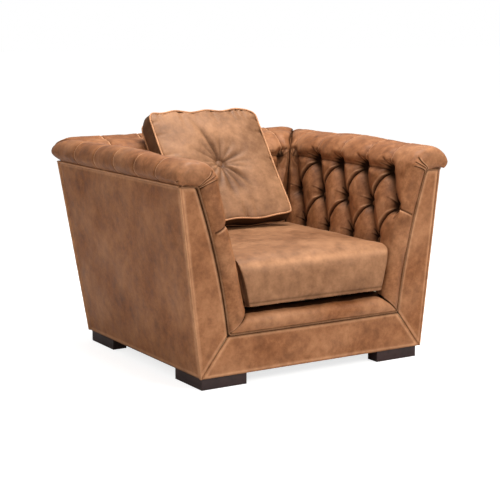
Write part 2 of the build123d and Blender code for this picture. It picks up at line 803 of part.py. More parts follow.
# ---------------------------------------------------------------- feet
def make_feet():
    """Four L-shaped block feet, and the screws that hold them."""
    x_out = base_half_width - foot_inset
    ends = {"front": (front_y + foot_inset + 4, 1), "rear": (base_rear_y - foot_inset, -1)}
    for end, (y_out, sy) in ends.items():
        with BuildPart() as foot:
            with BuildSketch() as sole:
                Polygon(
                    (x_out, y_out),
                    (x_out - foot_length_front, y_out),
                    (x_out - foot_length_front, y_out + sy * foot_width),
                    (x_out - foot_width, y_out + sy * foot_width),
                    (x_out - foot_width, y_out + sy * foot_length_side),
                    (x_out, y_out + sy * foot_length_side),
                    align=None,
                )
            extrude(sole.sketch, amount=base_z)
            for x, y in foot_screw_points(x_out, y_out, sy):
                with BuildSketch(Plane.XY) as bore:
                    with Locations((x, y)):
                        Circle(foot_bore_radius)
                extrude(bore.sketch, amount=base_z, mode=Mode.SUBTRACT)
        save_pair(foot, f"foot_{end}")

    with BuildPart() as screws:
        for sx in (-1, 1):
            for y_out, sy in ends.values():
                for x, y in foot_screw_points(x_out, y_out, sy):
                    with BuildSketch(Plane.XY.offset(screw_seat_z)) as head:
                        with Locations((sx * x, y)):
                            Circle(screw_head_radius)
                    extrude(head.sketch, amount=screw_head_height)
                    under_head = screw_seat_z + screw_head_height
                    with BuildSketch(Plane.XY.offset(under_head)) as shank:
                        with Locations((sx * x, y)):
                            Circle(screw_shank_radius)
                    extrude(shank.sketch, amount=base_z - under_head)
    save(screws, "foot_screws")


def foot_screw_points(x_out, y_out, sy):
    """Where the screws pass through a foot."""
    middle = foot_width / 2
    return (
        (x_out - middle, y_out + sy * (foot_length_side - middle)),
        (x_out - foot_length_front + middle, y_out + sy * middle),
    )


make_frame()
make_suspension()
make_padding()
make_outsides()
make_welts()
make_seat_cushion()
make_pillow()
make_feet()
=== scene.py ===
import json
from collections import namedtuple
from math import atan2, cos, hypot, pi, radians, sin

import bmesh
import bpy
import numpy as np
from mathutils import Euler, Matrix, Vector


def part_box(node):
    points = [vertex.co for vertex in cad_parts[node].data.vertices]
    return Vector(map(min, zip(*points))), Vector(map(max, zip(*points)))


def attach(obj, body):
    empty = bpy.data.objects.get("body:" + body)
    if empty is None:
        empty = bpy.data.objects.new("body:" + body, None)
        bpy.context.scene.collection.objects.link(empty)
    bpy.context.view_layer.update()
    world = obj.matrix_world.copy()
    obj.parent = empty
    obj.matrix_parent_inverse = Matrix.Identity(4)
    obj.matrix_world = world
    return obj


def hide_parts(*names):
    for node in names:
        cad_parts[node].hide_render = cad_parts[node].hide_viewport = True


# Looks of the buttoned club armchair. Metres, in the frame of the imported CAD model:
# the origin is on the floor under the middle of the chair, and the front faces -Y.

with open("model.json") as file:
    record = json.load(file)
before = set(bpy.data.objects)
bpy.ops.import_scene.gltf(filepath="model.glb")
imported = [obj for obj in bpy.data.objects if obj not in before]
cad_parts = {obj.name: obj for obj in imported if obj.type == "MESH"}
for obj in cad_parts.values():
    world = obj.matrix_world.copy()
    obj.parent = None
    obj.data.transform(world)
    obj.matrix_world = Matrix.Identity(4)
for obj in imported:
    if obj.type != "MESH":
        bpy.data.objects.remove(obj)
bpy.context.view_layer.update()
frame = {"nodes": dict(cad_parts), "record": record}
nodes = frame["nodes"]

# ---------------------------------------------------------------- sizes
# They follow the CAD, but for deeper pockets in the second and third rows of buttons and a
# seat cushion that is a little wider, as its leather is pressed against the arms.
FRONT_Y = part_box("front_facing_leather_left")[0].y      # plane of the front facings
BASE_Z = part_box("outside_arm_leather_right")[0].z
BELT_Z = 0.711                                          # welt line under the roll
BASE_X, BELT_X = 0.473, 0.550                           # outside of the body, low and high
BASE_REAR_Y, BELT_REAR_Y = FRONT_Y + 0.895, FRONT_Y + 0.986
CREST_Z, ROLL_Z, ROLL_OVERHANG = 0.803, 0.758, 0.028
DECK_Z, WALL_TOP_Z, SHOULDER_Z = 0.262, 0.703, 0.734
BAND_Z, BAND_TOP_Z = 0.186, 0.250                       # padded band of the front rail
ARM_WALL, ARM_WALL_TOP, ARM_CREST = 0.292, 0.394, 0.500
BACK_WALL, BACK_WALL_TOP, BACK_CREST = 0.180, 0.285, 0.415
ROW_Z = (0.703, 0.575, 0.447)
ROW_RECESS = (0.050, 0.042, 0.038)
ARM_PITCH, BACK_PITCH = 0.161, 0.152
ARM_ROW_STARTS, ARM_ROW_COUNTS = (0.126, 0.045, 0.126), (5, 5, 4)
BACK_HALF_COUNTS = (2.5, 2.0, 1.5)
ARM_SLOPE = (ARM_WALL_TOP - ARM_WALL) / (WALL_TOP_Z - DECK_Z)
BACK_SLOPE = (BACK_WALL_TOP - BACK_WALL) / (WALL_TOP_Z - DECK_Z)
BUTTON_RADIUS = 0.011
WELT_RADIUS = 0.0032
SEAT_FRONT_Y = FRONT_Y - 0.016
SEAT_BOTTOM_Z, SEAT_SEAM_Z, SEAT_EDGE_Z = 0.268, 0.288, 0.440
SEAT_CROWN, SEAT_ROUNDING, SEAT_SETBACK = 0.009, 0.022, 0.014
SEAT_HALF_LOW, SEAT_HALF_HIGH = 0.294, 0.331
SEAT_DEPTH_LOW, SEAT_DEPTH_HIGH = 0.668, 0.706
PILLOW_SIZE, PILLOW_BORDER, PILLOW_CENTRE = 0.490, 0.080, np.array((-0.016, 0.181, 0.680))
PILLOW_LEAN = radians(36.9)
PILLOW_BUTTON_RADIUS = 0.0165
PIPING_RADIUS = 0.0035
MIRROR = np.array((-1, 1, 1))


# ---------------------------------------------------------------- small tools
def smooth(x):
    """Smooth step of x from 0 to 1."""
    x = np.clip(x, 0, 1)
    return x * x * (3 - 2 * x)


def unit(vectors):
    """Vectors along the last axis, at length one."""
    return vectors / np.linalg.norm(vectors, axis=-1, keepdims=True)


def bell(gap, width):
    """1 at no gap, falling to nothing over a few widths."""
    return np.exp(-((gap / width) ** 2))


def softened(line, times):
    """A line with its inner points averaged with their neighbours."""
    for _ in range(times):
        line[1:-1] = (line[:-2] + 2 * line[1:-1] + line[2:]) / 4
    return line


def make_waves(count, shortest, longest, seed):
    """Random waves that add up to a gentle unevenness of a surface."""
    draw = np.random.default_rng(seed)
    length = draw.uniform(shortest, longest, count)
    way = unit(draw.normal(size=(count, 3)))
    return way * (2 * pi / length)[:, None], draw.uniform(0, 2 * pi, count)


def uneven(points, waves):
    """Unevenness at points, about -1 to 1."""
    ways, phases = waves
    total = np.zeros(points.shape[:-1])
    for way, phase in zip(ways, phases):
        total += np.sin(points @ way + phase)
    return total / (0.75 * len(phases) ** 0.5 * 2)


BROAD = make_waves(14, 0.12, 0.40, 11)
FINE = make_waves(18, 0.035, 0.09, 12)


def three_point_arc(a, b, c, count=14):
    """Points on the arc from a through b to c, without a itself."""
    (ax, ay), (bx, by), (cx, cy) = a, b, c
    d = 2 * (ax * (by - cy) + bx * (cy - ay) + cx * (ay - by))
    sa, sb, sc = ax * ax + ay * ay, bx * bx + by * by, cx * cx + cy * cy
    ox = (sa * (by - cy) + sb * (cy - ay) + sc * (ay - by)) / d
    oy = (sa * (cx - bx) + sb * (ax - cx) + sc * (bx - ax)) / d
    radius = hypot(ax - ox, ay - oy)
    start, middle, end = (atan2(y - oy, x - ox) for x, y in (a, b, c))
    while end - start > pi:
        end -= 2 * pi
    while end - start < -pi:
        end += 2 * pi
    turns = [start + (end - start) * k / count for k in range(1, count + 1)]
    return [(ox + radius * cos(turn), oy + radius * sin(turn)) for turn in turns]


def resample(points, count):
    """Evenly spaced points along a line, and their distances from its start."""
    points = np.array(points, float)
    steps = np.linalg.norm(np.diff(points, axis=0), axis=1)
    run = np.concatenate([[0], np.cumsum(steps)])
    at = np.linspace(0, run[-1], count)
    return np.stack([np.interp(at, run, points[:, k]) for k in range(points.shape[1])], axis=1), at


def new_object(name, points, faces, material, **values):
    """A mesh object; values are numbers per vertex that its material reads."""
    mesh = bpy.data.meshes.new(name)
    mesh.from_pydata([tuple(p) for p in points], [], faces)
    mesh.polygons.foreach_set("use_smooth", [True] * len(mesh.polygons))
    for key, value in values.items():
        layer = mesh.attributes.new(key, "FLOAT", "POINT")
        layer.data.foreach_set("value", np.asarray(value, np.float32).ravel())
    mesh.materials.append(material)
    mesh.validate()
    mesh.update()
    item = bpy.data.objects.new(name, mesh)
    bpy.context.scene.collection.objects.link(item)
    return item


def grid_faces(rows, columns, first=0, wrap=False):
    """Quads of a grid of vertices stored row by row."""
    row = np.arange(rows - 1)[:, None]
    across = columns if wrap else columns - 1
    column = np.arange(across)[None, :]
    right = (column + 1) % columns
    corners = [row * columns + column, row * columns + right]
    corners += [(row + 1) * columns + right, (row + 1) * columns + column]
    quads = np.stack([np.broadcast_to(c, (rows - 1, across)) for c in corners], -1) + first
    return quads.reshape(-1, 4).tolist()


def face_outwards(item):
    """Turns all faces of a closed mesh outwards."""
    shape = bmesh.new()
    shape.from_mesh(item.data)
    bmesh.ops.recalc_face_normals(shape, faces=shape.faces)
    if shape.calc_volume(signed=True) < 0:
        bmesh.ops.reverse_faces(shape, faces=shape.faces)
    shape.to_mesh(item.data)
    shape.free()


def closed_patch(name, grid, depth, inward, material, **values):
    """A grid of points as the face of a thin closed piece; inward is a unit vector to its back."""
    rows, columns = grid.shape[:2]
    back = grid + np.asarray(inward) * depth
    points = np.concatenate([grid.reshape(-1, 3), back.reshape(-1, 3)])
    count = rows * columns
    faces = grid_faces(rows, columns) + [f[::-1] for f in grid_faces(rows, columns, count)]
    rim = [c for c in range(columns)] + [r * columns + columns - 1 for r in range(1, rows)]
    rim += [(rows - 1) * columns + c for c in range(columns - 2, -1, -1)]
    rim += [r * columns for r in range(rows - 2, 0, -1)]
    for a, b in zip(rim, rim[1:] + rim[:1]):
        faces.append([a, a + count, b + count, b])
    doubled = {key: np.concatenate([np.ravel(v), np.ravel(v)]) for key, v in values.items()}
    return new_object(name, points, faces, material, **doubled)


def tube_mesh(line, radius, sides=12, closed=False, wobble=0.0):
    """Points and faces of a round tube along a line."""
    line = np.array(line, float)
    if closed:
        way = np.roll(line, -1, axis=0) - np.roll(line, 1, axis=0)
    else:
        way = np.gradient(line, axis=0)
    way = unit(way)
    side = np.zeros_like(way)
    side[0] = unit(np.cross(way[0], (0.3, 0.2, 0.9)))
    for i in range(1, len(line)):
        side[i] = unit(side[i - 1] - way[i] * (side[i - 1] @ way[i]))
    other = np.cross(way, side)
    angle = np.linspace(0, 2 * pi, sides, endpoint=False)
    size = radius * (1 + wobble * uneven(line, FINE))[:, None, None]
    ring = np.cos(angle)[None, :, None] * side[:, None] + np.sin(angle)[None, :, None] * other[:, None]
    points = (line[:, None] + size * ring).reshape(-1, 3)
    faces = grid_faces(len(line), sides, wrap=True)
    last = (len(line) - 1) * sides
    if closed:
        turn = int(np.argmin(np.linalg.norm(points[:sides] - points[last], axis=1)))
        for k in range(sides):
            m = (k + 1) % sides
            faces.append([last + k, last + m, (m + turn) % sides, (k + turn) % sides])
    else:
        faces.append(list(range(sides - 1, -1, -1)))
        faces.append([last + k for k in range(sides)])
    return points, faces


def declared(item, body, replaced):
    """Turns a piece's faces out, puts it on its body and hides the CAD parts it replaces."""
    face_outwards(item)
    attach(item, body)
    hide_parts(*replaced)
    return item


def joined(name, parts, material, body, replaced, crease=0.0, wear=0.0):
    """One object made of several closed meshes' points and faces, riding on a body."""
    points, faces = [], []
    first = 0
    for some, their_faces in parts:
        points.append(np.asarray(some))
        faces += [[i + first for i in f] for f in their_faces]
        first += len(some)
    values = {"crease": np.full(first, crease), "wear": np.full(first, wear)}
    item = new_object(name, np.concatenate(points), faces, material, **values)
    return declared(item, body, replaced)


# ---------------------------------------------------------------- materials
def node_maker(owner):
    """The node tree of a material or world, with functions that add a node and a link."""
    tree = owner.node_tree

    def make(kind, **settings):
        node = tree.nodes.new(kind)
        for key, value in settings.items():
            setattr(node, key, value)
        return node

    return tree, make, tree.links.new


def ramp(make, stops):
    """A colour ramp from (place, colour) pairs."""
    node = make("ShaderNodeValToRGB")
    elements = node.color_ramp.elements
    while len(elements) < len(stops):
        elements.new(0.5)
    for element, (place, colour) in zip(elements, stops):
        element.position = place
        element.color = (*colour, 1)
    return node


def mixed(make, link, factor, a, b):
    """Mixes two colours by a factor socket."""
    node = make("ShaderNodeMix", data_type="RGBA")
    link(factor, node.inputs[0])
    for source, target in ((a, node.inputs[6]), (b, node.inputs[7])):
        if isinstance(source, tuple):
            target.default_value = (*source, 1)
        else:
            link(source, target)
    return node.outputs[2]


def noise(make, link, place, scale, detail, roughness):
    """Cloudy noise from about 0.3 to 0.7."""
    node = make("ShaderNodeTexNoise")
    link(place, node.inputs["Vector"])
    node.inputs["Scale"].default_value = scale
    node.inputs["Detail"].default_value = detail
    node.inputs["Roughness"].default_value = roughness
    return node.outputs["Fac"]


def scaled(make, link, socket, low, high, to_low, to_high):
    """A number brought from one range to another."""
    node = make("ShaderNodeMapRange")
    link(socket, node.inputs["Value"])
    for key, value in (("From Min", low), ("From Max", high), ("To Min", to_low), ("To Max", to_high)):
        node.inputs[key].default_value = value
    return node.outputs["Result"]


def bumped(make, link, height, strength, distance, normal=None):
    """A bump, on top of another where normal is given."""
    node = make("ShaderNodeBump")
    node.inputs["Strength"].default_value = strength
    node.inputs["Distance"].default_value = distance
    link(height, node.inputs["Height"])
    if normal is not None:
        link(normal, node.inputs["Normal"])
    return node.outputs["Normal"]


def start_material(name):
    """A new material with its shader, its place on the object and its node functions."""
    material = bpy.data.materials.new(name)
    material.use_nodes = True
    tree, make, link = node_maker(material)
    shader = tree.nodes["Principled BSDF"]
    place = make("ShaderNodeTexCoord").outputs["Object"]
    return material, shader, place, make, link


# Painted shade: the colour that folds, slits, seams and recesses are darkened towards.
PAINTED_SHADE_COLOUR = (0.010, 0.004, 0.002)
# Paler colour of worn leather, also used as painted highlight on the lips of folds.
WORN_AND_HIGHLIGHT_COLOUR = (0.62, 0.32, 0.165)


def leather(name, dark, base, light):
    """Waxed pull-up leather: mottled; paler where stretched or rubbed and on the lips of folds, partly
    painted highlight; painted shade in the folds.
    """
    material, shader, place, make, link = start_material(name)
    clouds = noise(make, link, place, 6.5, 7, 0.62)
    blotches = noise(make, link, place, 27, 6, 0.68)
    specks = noise(make, link, place, 110, 4, 0.7)
    body = ramp(make, [(0.31, dark), (0.48, base), (0.66, light)])
    blend = make("ShaderNodeMath", operation="MULTIPLY_ADD")
    link(blotches, blend.inputs[0])
    blend.inputs[1].default_value = 0.75
    link(scaled(make, link, clouds, 0, 1, -0.05, 0.30), blend.inputs[2])
    link(blend.outputs[0], body.inputs[0])
    speckled = mixed(make, link, scaled(make, link, specks, 0.46, 0.72, 0, 0.45), body.outputs[0], dark)
    wear = make("ShaderNodeAttribute", attribute_name="wear").outputs["Fac"]
    pale_share = make("ShaderNodeMath", operation="MULTIPLY")
    link(wear, pale_share.inputs[0])
    link(scaled(make, link, blotches, 0.30, 0.65, 0.60, 1.0), pale_share.inputs[1])
    paled = mixed(make, link, pale_share.outputs[0], speckled, WORN_AND_HIGHLIGHT_COLOUR)
    crease = make("ShaderNodeAttribute", attribute_name="crease").outputs["Fac"]
    link(mixed(make, link, crease, paled, PAINTED_SHADE_COLOUR), shader.inputs["Base Color"])
    link(scaled(make, link, blotches, 0.3, 0.7, 0.42, 0.60), shader.inputs["Roughness"])
    # No specular sheen where shade is painted.
    link(scaled(make, link, crease, 0, 1, 0.16, 0.0), shader.inputs["Specular IOR Level"])
    pores = make("ShaderNodeTexVoronoi", feature="DISTANCE_TO_EDGE")
    link(place, pores.inputs["Vector"])
    pores.inputs["Scale"].default_value = 520
    grain = bumped(make, link, pores.outputs["Distance"], 0.22, 0.0006)
    wrinkles = noise(make, link, place, 85, 6, 0.6)
    link(bumped(make, link, wrinkles, 0.30, 0.0016, grain), shader.inputs["Normal"])
    return material


def wood(name, dark, light, roughness, stretch):
    """Wood with its grain along one axis."""
    material, shader, place, make, link = start_material(name)
    mapping = make("ShaderNodeMapping")
    link(place, mapping.inputs["Vector"])
    mapping.inputs["Scale"].default_value = stretch
    figure = noise(make, link, mapping.outputs[0], 9, 8, 0.7)
    pores = noise(make, link, mapping.outputs[0], 60, 3, 0.6)
    colour = ramp(make, [(0.32, dark), (0.70, light)])
    link(figure, colour.inputs[0])
    darker = mixed(make, link, scaled(make, link, pores, 0.55, 0.7, 0, 0.5), colour.outputs[0], dark)
    link(darker, shader.inputs["Base Color"])
    rough = scaled(make, link, pores, 0.3, 0.7, roughness - 0.07, roughness + 0.1)
    link(rough, shader.inputs["Roughness"])
    link(bumped(make, link, pores, 0.25, 0.0006), shader.inputs["Normal"])
    return material


def woven(name, dark, light, threads):
    """Plain woven cloth."""
    material, shader, place, make, link = start_material(name)
    heights = []
    for way in ("X", "Y"):
        bands = make("ShaderNodeTexWave", wave_type="BANDS", bands_direction=way)
        link(place, bands.inputs["Vector"])
        bands.inputs["Scale"].default_value = threads
        heights.append(bands.outputs["Fac"])
    weave = make("ShaderNodeMath", operation="MULTIPLY")
    link(heights[0], weave.inputs[0])
    link(heights[1], weave.inputs[1])
    dust = noise(make, link, place, 30, 5, 0.6)
    colour = mixed(make, link, dust, dark, light)
    link(mixed(make, link, weave.outputs[0], colour, light), shader.inputs["Base Color"])
    shader.inputs["Roughness"].default_value = 0.9
    link(bumped(make, link, weave.outputs[0], 0.4, 0.0005), shader.inputs["Normal"])
    return material


def foam_material(name, colour, pale):
    """Open-cell foam or pressed board, with pits."""
    material, shader, place, make, link = start_material(name)
    cells = make("ShaderNodeTexVoronoi")
    link(place, cells.inputs["Vector"])
    cells.inputs["Scale"].default_value = 380
    stain = noise(make, link, place, 12, 5, 0.6)
    link(mixed(make, link, stain, colour, pale), shader.inputs["Base Color"])
    shader.inputs["Roughness"].default_value = 0.95
    link(bumped(make, link, cells.outputs["Distance"], 0.5, 0.001), shader.inputs["Normal"])
    return material


def metal(name, colour, roughness):
    """Plated steel with faint streaks."""
    material, shader, place, make, link = start_material(name)
    streaks = noise(make, link, place, 140, 4, 0.6)
    tint = tuple(0.72 * c for c in colour)
    link(mixed(make, link, streaks, tint, colour), shader.inputs["Base Color"])
    shader.inputs["Metallic"].default_value = 1.0
    rough = scaled(make, link, streaks, 0.3, 0.7, roughness - 0.08, roughness + 0.12)
    link(rough, shader.inputs["Roughness"])
    link(bumped(make, link, streaks, 0.1, 0.0003), shader.inputs["Normal"])
    return material


tan = leather("tan_leather_padding", (0.115, 0.041, 0.015), (0.225, 0.086, 0.033), (0.34, 0.143, 0.060))
tan_panel = leather(
    "tan_leather_panels", (0.132, 0.044, 0.015), (0.232, 0.086, 0.0315), (0.328, 0.133, 0.054)
)
# The seat and scatter cushion leathers are darker copies of the padding's, painted shade, as both face the
# key and top lights.
tan_seat_shaded = leather("tan_leather_seat_painted_shade", (0.110, 0.045, 0.019), (0.185, 0.079, 0.034), (0.265, 0.122, 0.057))
tan_pillow_shaded = leather("tan_leather_pillow_painted_shade", (0.1, 0.043, 0.019), (0.165, 0.075, 0.034), (0.235, 0.116, 0.057))
tan_welt = leather("tan_leather_welts", (0.21, 0.086, 0.036), (0.32, 0.143, 0.065), (0.50, 0.25, 0.125))
dark_wood = wood("wenge_stained_wood", (0.009, 0.0022, 0.0018), (0.036, 0.0088, 0.007), 0.5, (1, 0.12, 1))
frame_wood = wood("beech_frame_wood", (0.40, 0.26, 0.14), (0.62, 0.45, 0.28), 0.6, (0.15, 1.0, 1.0))
black_cloth = woven("black_lining_cloth", (0.012, 0.012, 0.013), (0.035, 0.035, 0.037), 420)
foam = foam_material("cream_foam", (0.70, 0.62, 0.42), (0.80, 0.74, 0.56))
fibreboard = foam_material("brown_fibreboard", (0.30, 0.18, 0.09), (0.40, 0.27, 0.15))
zinc = metal("zinc_plated_steel", (0.62, 0.62, 0.64), 0.35)
SLOT_MATERIALS = {
    "tan_leather": tan_panel,
    "foam": foam,
    "black_cloth": black_cloth,
    "fibreboard": fibreboard,
    "frame_wood": frame_wood,
    "dark_wood": dark_wood,
    "zinc_steel": zinc,
}

for subpart in frame["record"]["subparts"]:
    skins = nodes[subpart["node"]].data.materials
    skins.clear()
    skins.append(SLOT_MATERIALS[subpart["material_slot"]])

# ---------------------------------------------------------------- folds of the buttoned padding
# A fold is a line on the padding, in (a, b): a runs along the wall, b up its face and over
# the roll from the first row of buttons. depths are at its start, middle and end. reach is
# how far the leather dips to the line's left and right; bow bends it to the left. tuck is
# the share of the depth that drops at the line itself, on its left, and round the radius
# of a soft valley's bottom. lip is a paler edge along the line, worn and partly painted
# highlight, and line the dark slit in it, painted shade.
Fold = namedtuple("Fold", "start end depths reach bow lip line tuck round", defaults=(0.0, 0.0))
RAMP = 0.034                                # how far a pocket's depth runs along its folds
BUTTON_REACH = 0.062                        # how wide a fold opens at a button
SLIT_WIDTH = 0.0027
LIP_OFFSET = 0.0052


def fold_field(a, b, folds):
    """How far the leather dips at each point, and how close it is to a slit, which gets painted shade, and
    to a lip, worn and partly painted highlight.
    """
    deepest = np.full_like(a, 1e-6)
    total = np.zeros_like(a)
    slit = np.zeros_like(a)
    edge = np.zeros_like(a)
    for fold in folds:
        run_a, run_b = fold.end[0] - fold.start[0], fold.end[1] - fold.start[1]
        length = hypot(run_a, run_b)
        run_a, run_b = run_a / length, run_b / length
        along = (a - fold.start[0]) * run_a + (b - fold.start[1]) * run_b
        t = np.clip(along / length, 0, 1)
        left = (b - fold.start[1]) * run_a - (a - fold.start[0]) * run_b - fold.bow * 4 * t * (1 - t)
        gap = np.hypot(left, along - t * length)
        first, middle, last = fold.depths
        near_first = np.exp(-t * length / RAMP)
        near_last = np.exp(-(1 - t) * length / RAMP)
        deep = middle + (first - middle) * near_first + (last - middle) * near_last
        reach = np.where(left > 0, fold.reach[0], fold.reach[1])
        widen = (first > middle) * near_first + (last > middle) * near_last
        reach = reach + (BUTTON_REACH - reach) * np.clip(widen, 0, 1)
        bottom = np.sqrt(gap**2 + fold.round**2) - fold.round
        shape = np.clip(1 - bottom / reach, 0, 1) ** 2.2
        tucked = (1 - fold.tuck) * np.clip(1 - gap / reach, 0, 1) ** 1.6 + fold.tuck * np.exp(-gap / 0.0028)
        dip = deep * np.where((left > 0) & (fold.tuck > 0), tucked, shape)
        deepest = np.maximum(deepest, dip)
        total = total + dip**4
        ends = smooth(np.minimum(t, 1 - t) * length / 0.012)
        slit = np.maximum(slit, fold.line * bell(gap, SLIT_WIDTH))
        edge = np.maximum(edge, fold.lip * bell(left - LIP_OFFSET, SLIT_WIDTH) * ends)
    depth = np.minimum(total**0.25, 1.16 * deepest)
    return depth, slit, edge


def button_rows(starts, pitch, counts, lift):
    """(a, b) of every button, row by row."""
    rows = []
    for z, start, count in zip(ROW_Z, starts, counts):
        rows.append([(start + i * pitch, -(WALL_TOP_Z - z) * lift) for i in range(count)])
    return rows


def pucker_tip(button, draw, degrees_round, spread, shortest, longest):
    """The end of a small pucker that leaves a button at a rough angle."""
    angle = radians(degrees_round + draw.uniform(-spread, spread))
    reach = draw.uniform(shortest, longest)
    return button[0] + reach * cos(angle), button[1] + reach * sin(angle)


def buttoned_folds(rows, pitch, top, bottom, seed):
    """Folds between the buttons, over the roll and down to the deck."""
    draw = np.random.default_rng(seed)
    folds = []
    for upper, lower, deep_up, deep_low in zip(rows, rows[1:], ROW_RECESS, ROW_RECESS[1:]):
        for p in upper:
            for q in lower:
                if not 0.1 * pitch < abs(p[0] - q[0]) < 0.9 * pitch:
                    continue
                if q[0] > p[0]:
                    depths = (deep_up, 0.017 + draw.uniform(-0.002, 0.002), deep_low)
                    bow = 0.016 + draw.uniform(-0.003, 0.003)
                    folds.append(Fold(p, q, depths, (0.050, 0.052), bow, 1.0, 1.0, 0.72))
                else:
                    depths = (deep_up, 0.026 + draw.uniform(-0.003, 0.003), deep_low)
                    bow = draw.uniform(-0.008, 0.002)
                    folds.append(Fold(p, q, depths, (0.050, 0.066), bow, 0, 0, 0, 0.012))
    for p, q in zip(rows[0], rows[0][1:]):
        depths = (ROW_RECESS[0], draw.uniform(0.004, 0.010), ROW_RECESS[0])
        folds.append(Fold(p, q, depths, (0.022, 0.034), 0.004, 0.2, 0.4, 0, 0.002))
    for i, p in enumerate(rows[0]):
        slant = draw.uniform(-0.012, 0.004)
        crown = (p[0] + slant * 0.4, top * 0.40)
        folds.append(Fold(p, crown, (ROW_RECESS[0], 0.012, 0.007), (0.024, 0.044), 0.004, 1.2, 1.0, 0.5))
        over = (p[0] + slant, top)
        folds.append(Fold(crown, over, (0.007, 0.0042, 0.0036), (0.010, 0.016), -0.007, 1.3, 1.1, 0.6))
    for p in rows[-1]:
        folds.append(Fold(p, (p[0], bottom), (ROW_RECESS[2], 0.016, 0.010), (0.05, 0.05), 0, 0.2, 0.6))
    for row, deep in zip(rows, ROW_RECESS):
        for p in row:
            for k in range(3):
                tip = pucker_tip(p, draw, 24 + 33 * k, 9, 0.034, 0.062)
                folds.append(Fold(p, tip, (deep, 0.009, 0.0), (0.010, 0.016), 0.004, 0.3, 0.5))
            for k in range(2):
                tip = pucker_tip(p, draw, -120 + 60 * k, 14, 0.025, 0.045)
                folds.append(Fold(p, tip, (deep, 0.008, 0.0), (0.010, 0.014), 0.003, 0.2, 0.3))
    return folds


# ---------------------------------------------------------------- section of a padded wall
def wall_section(wall, top, crest, belt, low_z, count):
    """Points (u, z) up the face, over the roll and down to the welt; their b; their inward normals."""
    roll = belt + ROLL_OVERHANG
    shoulder = top + 0.0073
    line = [(wall, low_z), (wall, DECK_Z), (top, WALL_TOP_Z), (shoulder, SHOULDER_Z)]
    line += three_point_arc(line[-1], (shoulder + 0.3 * (crest - shoulder), 0.781), (crest, CREST_Z))
    line += three_point_arc(line[-1], (roll - 0.013, 0.790), (roll, ROLL_Z))
    line += three_point_arc(line[-1], (roll - 0.006, 0.730), (belt + 0.001, BELT_Z))
    points, at = resample(line, count)
    points = softened(points, 10)
    way = unit(np.gradient(points, axis=0))
    inward = np.stack([way[:, 1], -way[:, 0]], axis=1)
    rising = int(np.argmax(points[:, 1]))
    first_row = at[np.argmin(np.abs(points[:rising, 1] - WALL_TOP_Z))]
    return points, at - first_row, inward


# Three points (x, y, z) of the rear corner's mitre plane, and its normal.
MITRE = [
    np.array((ARM_WALL, BACK_WALL, DECK_Z)),
    np.array((ARM_WALL_TOP, BACK_WALL_TOP, WALL_TOP_Z)),
    np.array((BELT_X, BELT_REAR_Y, WALL_TOP_Z)),
]
MITRE_NORMAL = np.cross(MITRE[1] - MITRE[0], MITRE[2] - MITRE[1])


def mitre_y(x, z):
    """Y of the rear corner's mitre plane."""
    flat = MITRE_NORMAL[0] * (x - MITRE[1][0]) + MITRE_NORMAL[2] * (z - MITRE[1][2])
    return MITRE[1][1] - flat / MITRE_NORMAL[1]


def mitre_x(y, z):
    """X of the same plane."""
    flat = MITRE_NORMAL[1] * (y - MITRE[1][1]) + MITRE_NORMAL[2] * (z - MITRE[1][2])
    return MITRE[1][0] - flat / MITRE_NORMAL[0]


MITRE_DEPTH, MITRE_REACH, MITRE_SLOPE = 0.013, 0.045, 0.55
CORNER_RUN = 0.085                          # how far the inner faces run on past the mitre
ARM_TO_MITRE, BACK_TO_MITRE = 0.6, 0.8      # share of a wall's run that leads straight across the mitre
ARM_MEET, BACK_MEET = 0.0131, 0.0162        # where the two walls' skins cross, past the mitre


def mitre_dip(past):
    """Dip of the leather towards a mitred corner; past is the distance beyond the mitre."""
    near = np.clip(1 + past / MITRE_REACH, 0, 1) ** 2.4
    return MITRE_DEPTH * near + MITRE_SLOPE * np.clip(past, 0, None)


def corner_run(section):
    """How far past the mitre each row of a wall goes: a lot inside, none outside."""
    z = section[:, 1]
    inside = np.arange(len(z)) < np.argmax(z)
    return CORNER_RUN * smooth((CREST_Z - 0.008 - z) / 0.06) * inside


def corner_ends(section, inward, plane):
    """Each row's run past the mitre, the mitre itself, and the line where the leather ends."""
    run = corner_run(section)
    plain_end = plane(section[:, 0], section[:, 1])
    mitred = section + inward * MITRE_DEPTH
    end = np.where(run == 0, plane(mitred[:, 0], mitred[:, 1]), plain_end + run)
    return run, plain_end, softened(end, 12)


def mitred_folds(depth, slit, past, run, meet):
    """The folds flattened at a rear corner, with the corner's own seam; and how dark they are."""
    shade = depth * smooth((0.008 - past) / 0.040)
    depth = np.maximum(np.minimum(depth, MITRE_DEPTH + np.clip(-past, 0, None)), mitre_dip(past))
    seam = 0.85 * bell(past - meet * (run / CORNER_RUN)[:, None], 0.004)
    return depth, np.maximum(slit, seam), shade


def pressed(points, way, depth, slit, edge, fixed):
    """The skin's points with its folds and a gentle unevenness; fixed is 0 where it is sewn down."""
    swell = 0.0022 * uneven(points, BROAD) + 0.0009 * uneven(points, FINE)
    slit_step, edge_rise = 0.0020, 0.0011
    move = depth + slit_step * (slit > 0.5) - edge_rise * edge + (0.001 - swell) * fixed
    return points + way * move[..., None]


def closed_wall(name, grid, material, replaced, nose=0, **values):
    """A padded wall's skin as a closed body: its long edges are joined behind it, past its nose columns."""
    rows, columns = grid.shape[:2]
    faces = grid_faces(rows, columns)
    last = (rows - 1) * columns
    for c in range(nose, columns - 1):
        faces.append([c, last + c, last + c + 1, c + 1])
    if nose:
        faces.append(list(range(nose + 1)))
        faces.append([last + c for c in range(nose, -1, -1)])
    faces.append([r * columns for r in range(rows)] + ([last + nose, nose] if nose else []))
    faces.append([r * columns + columns - 1 for r in range(rows)])
    item = new_object(name, grid.reshape(-1, 3), faces, material, **values)
    declared(item, "root", replaced)


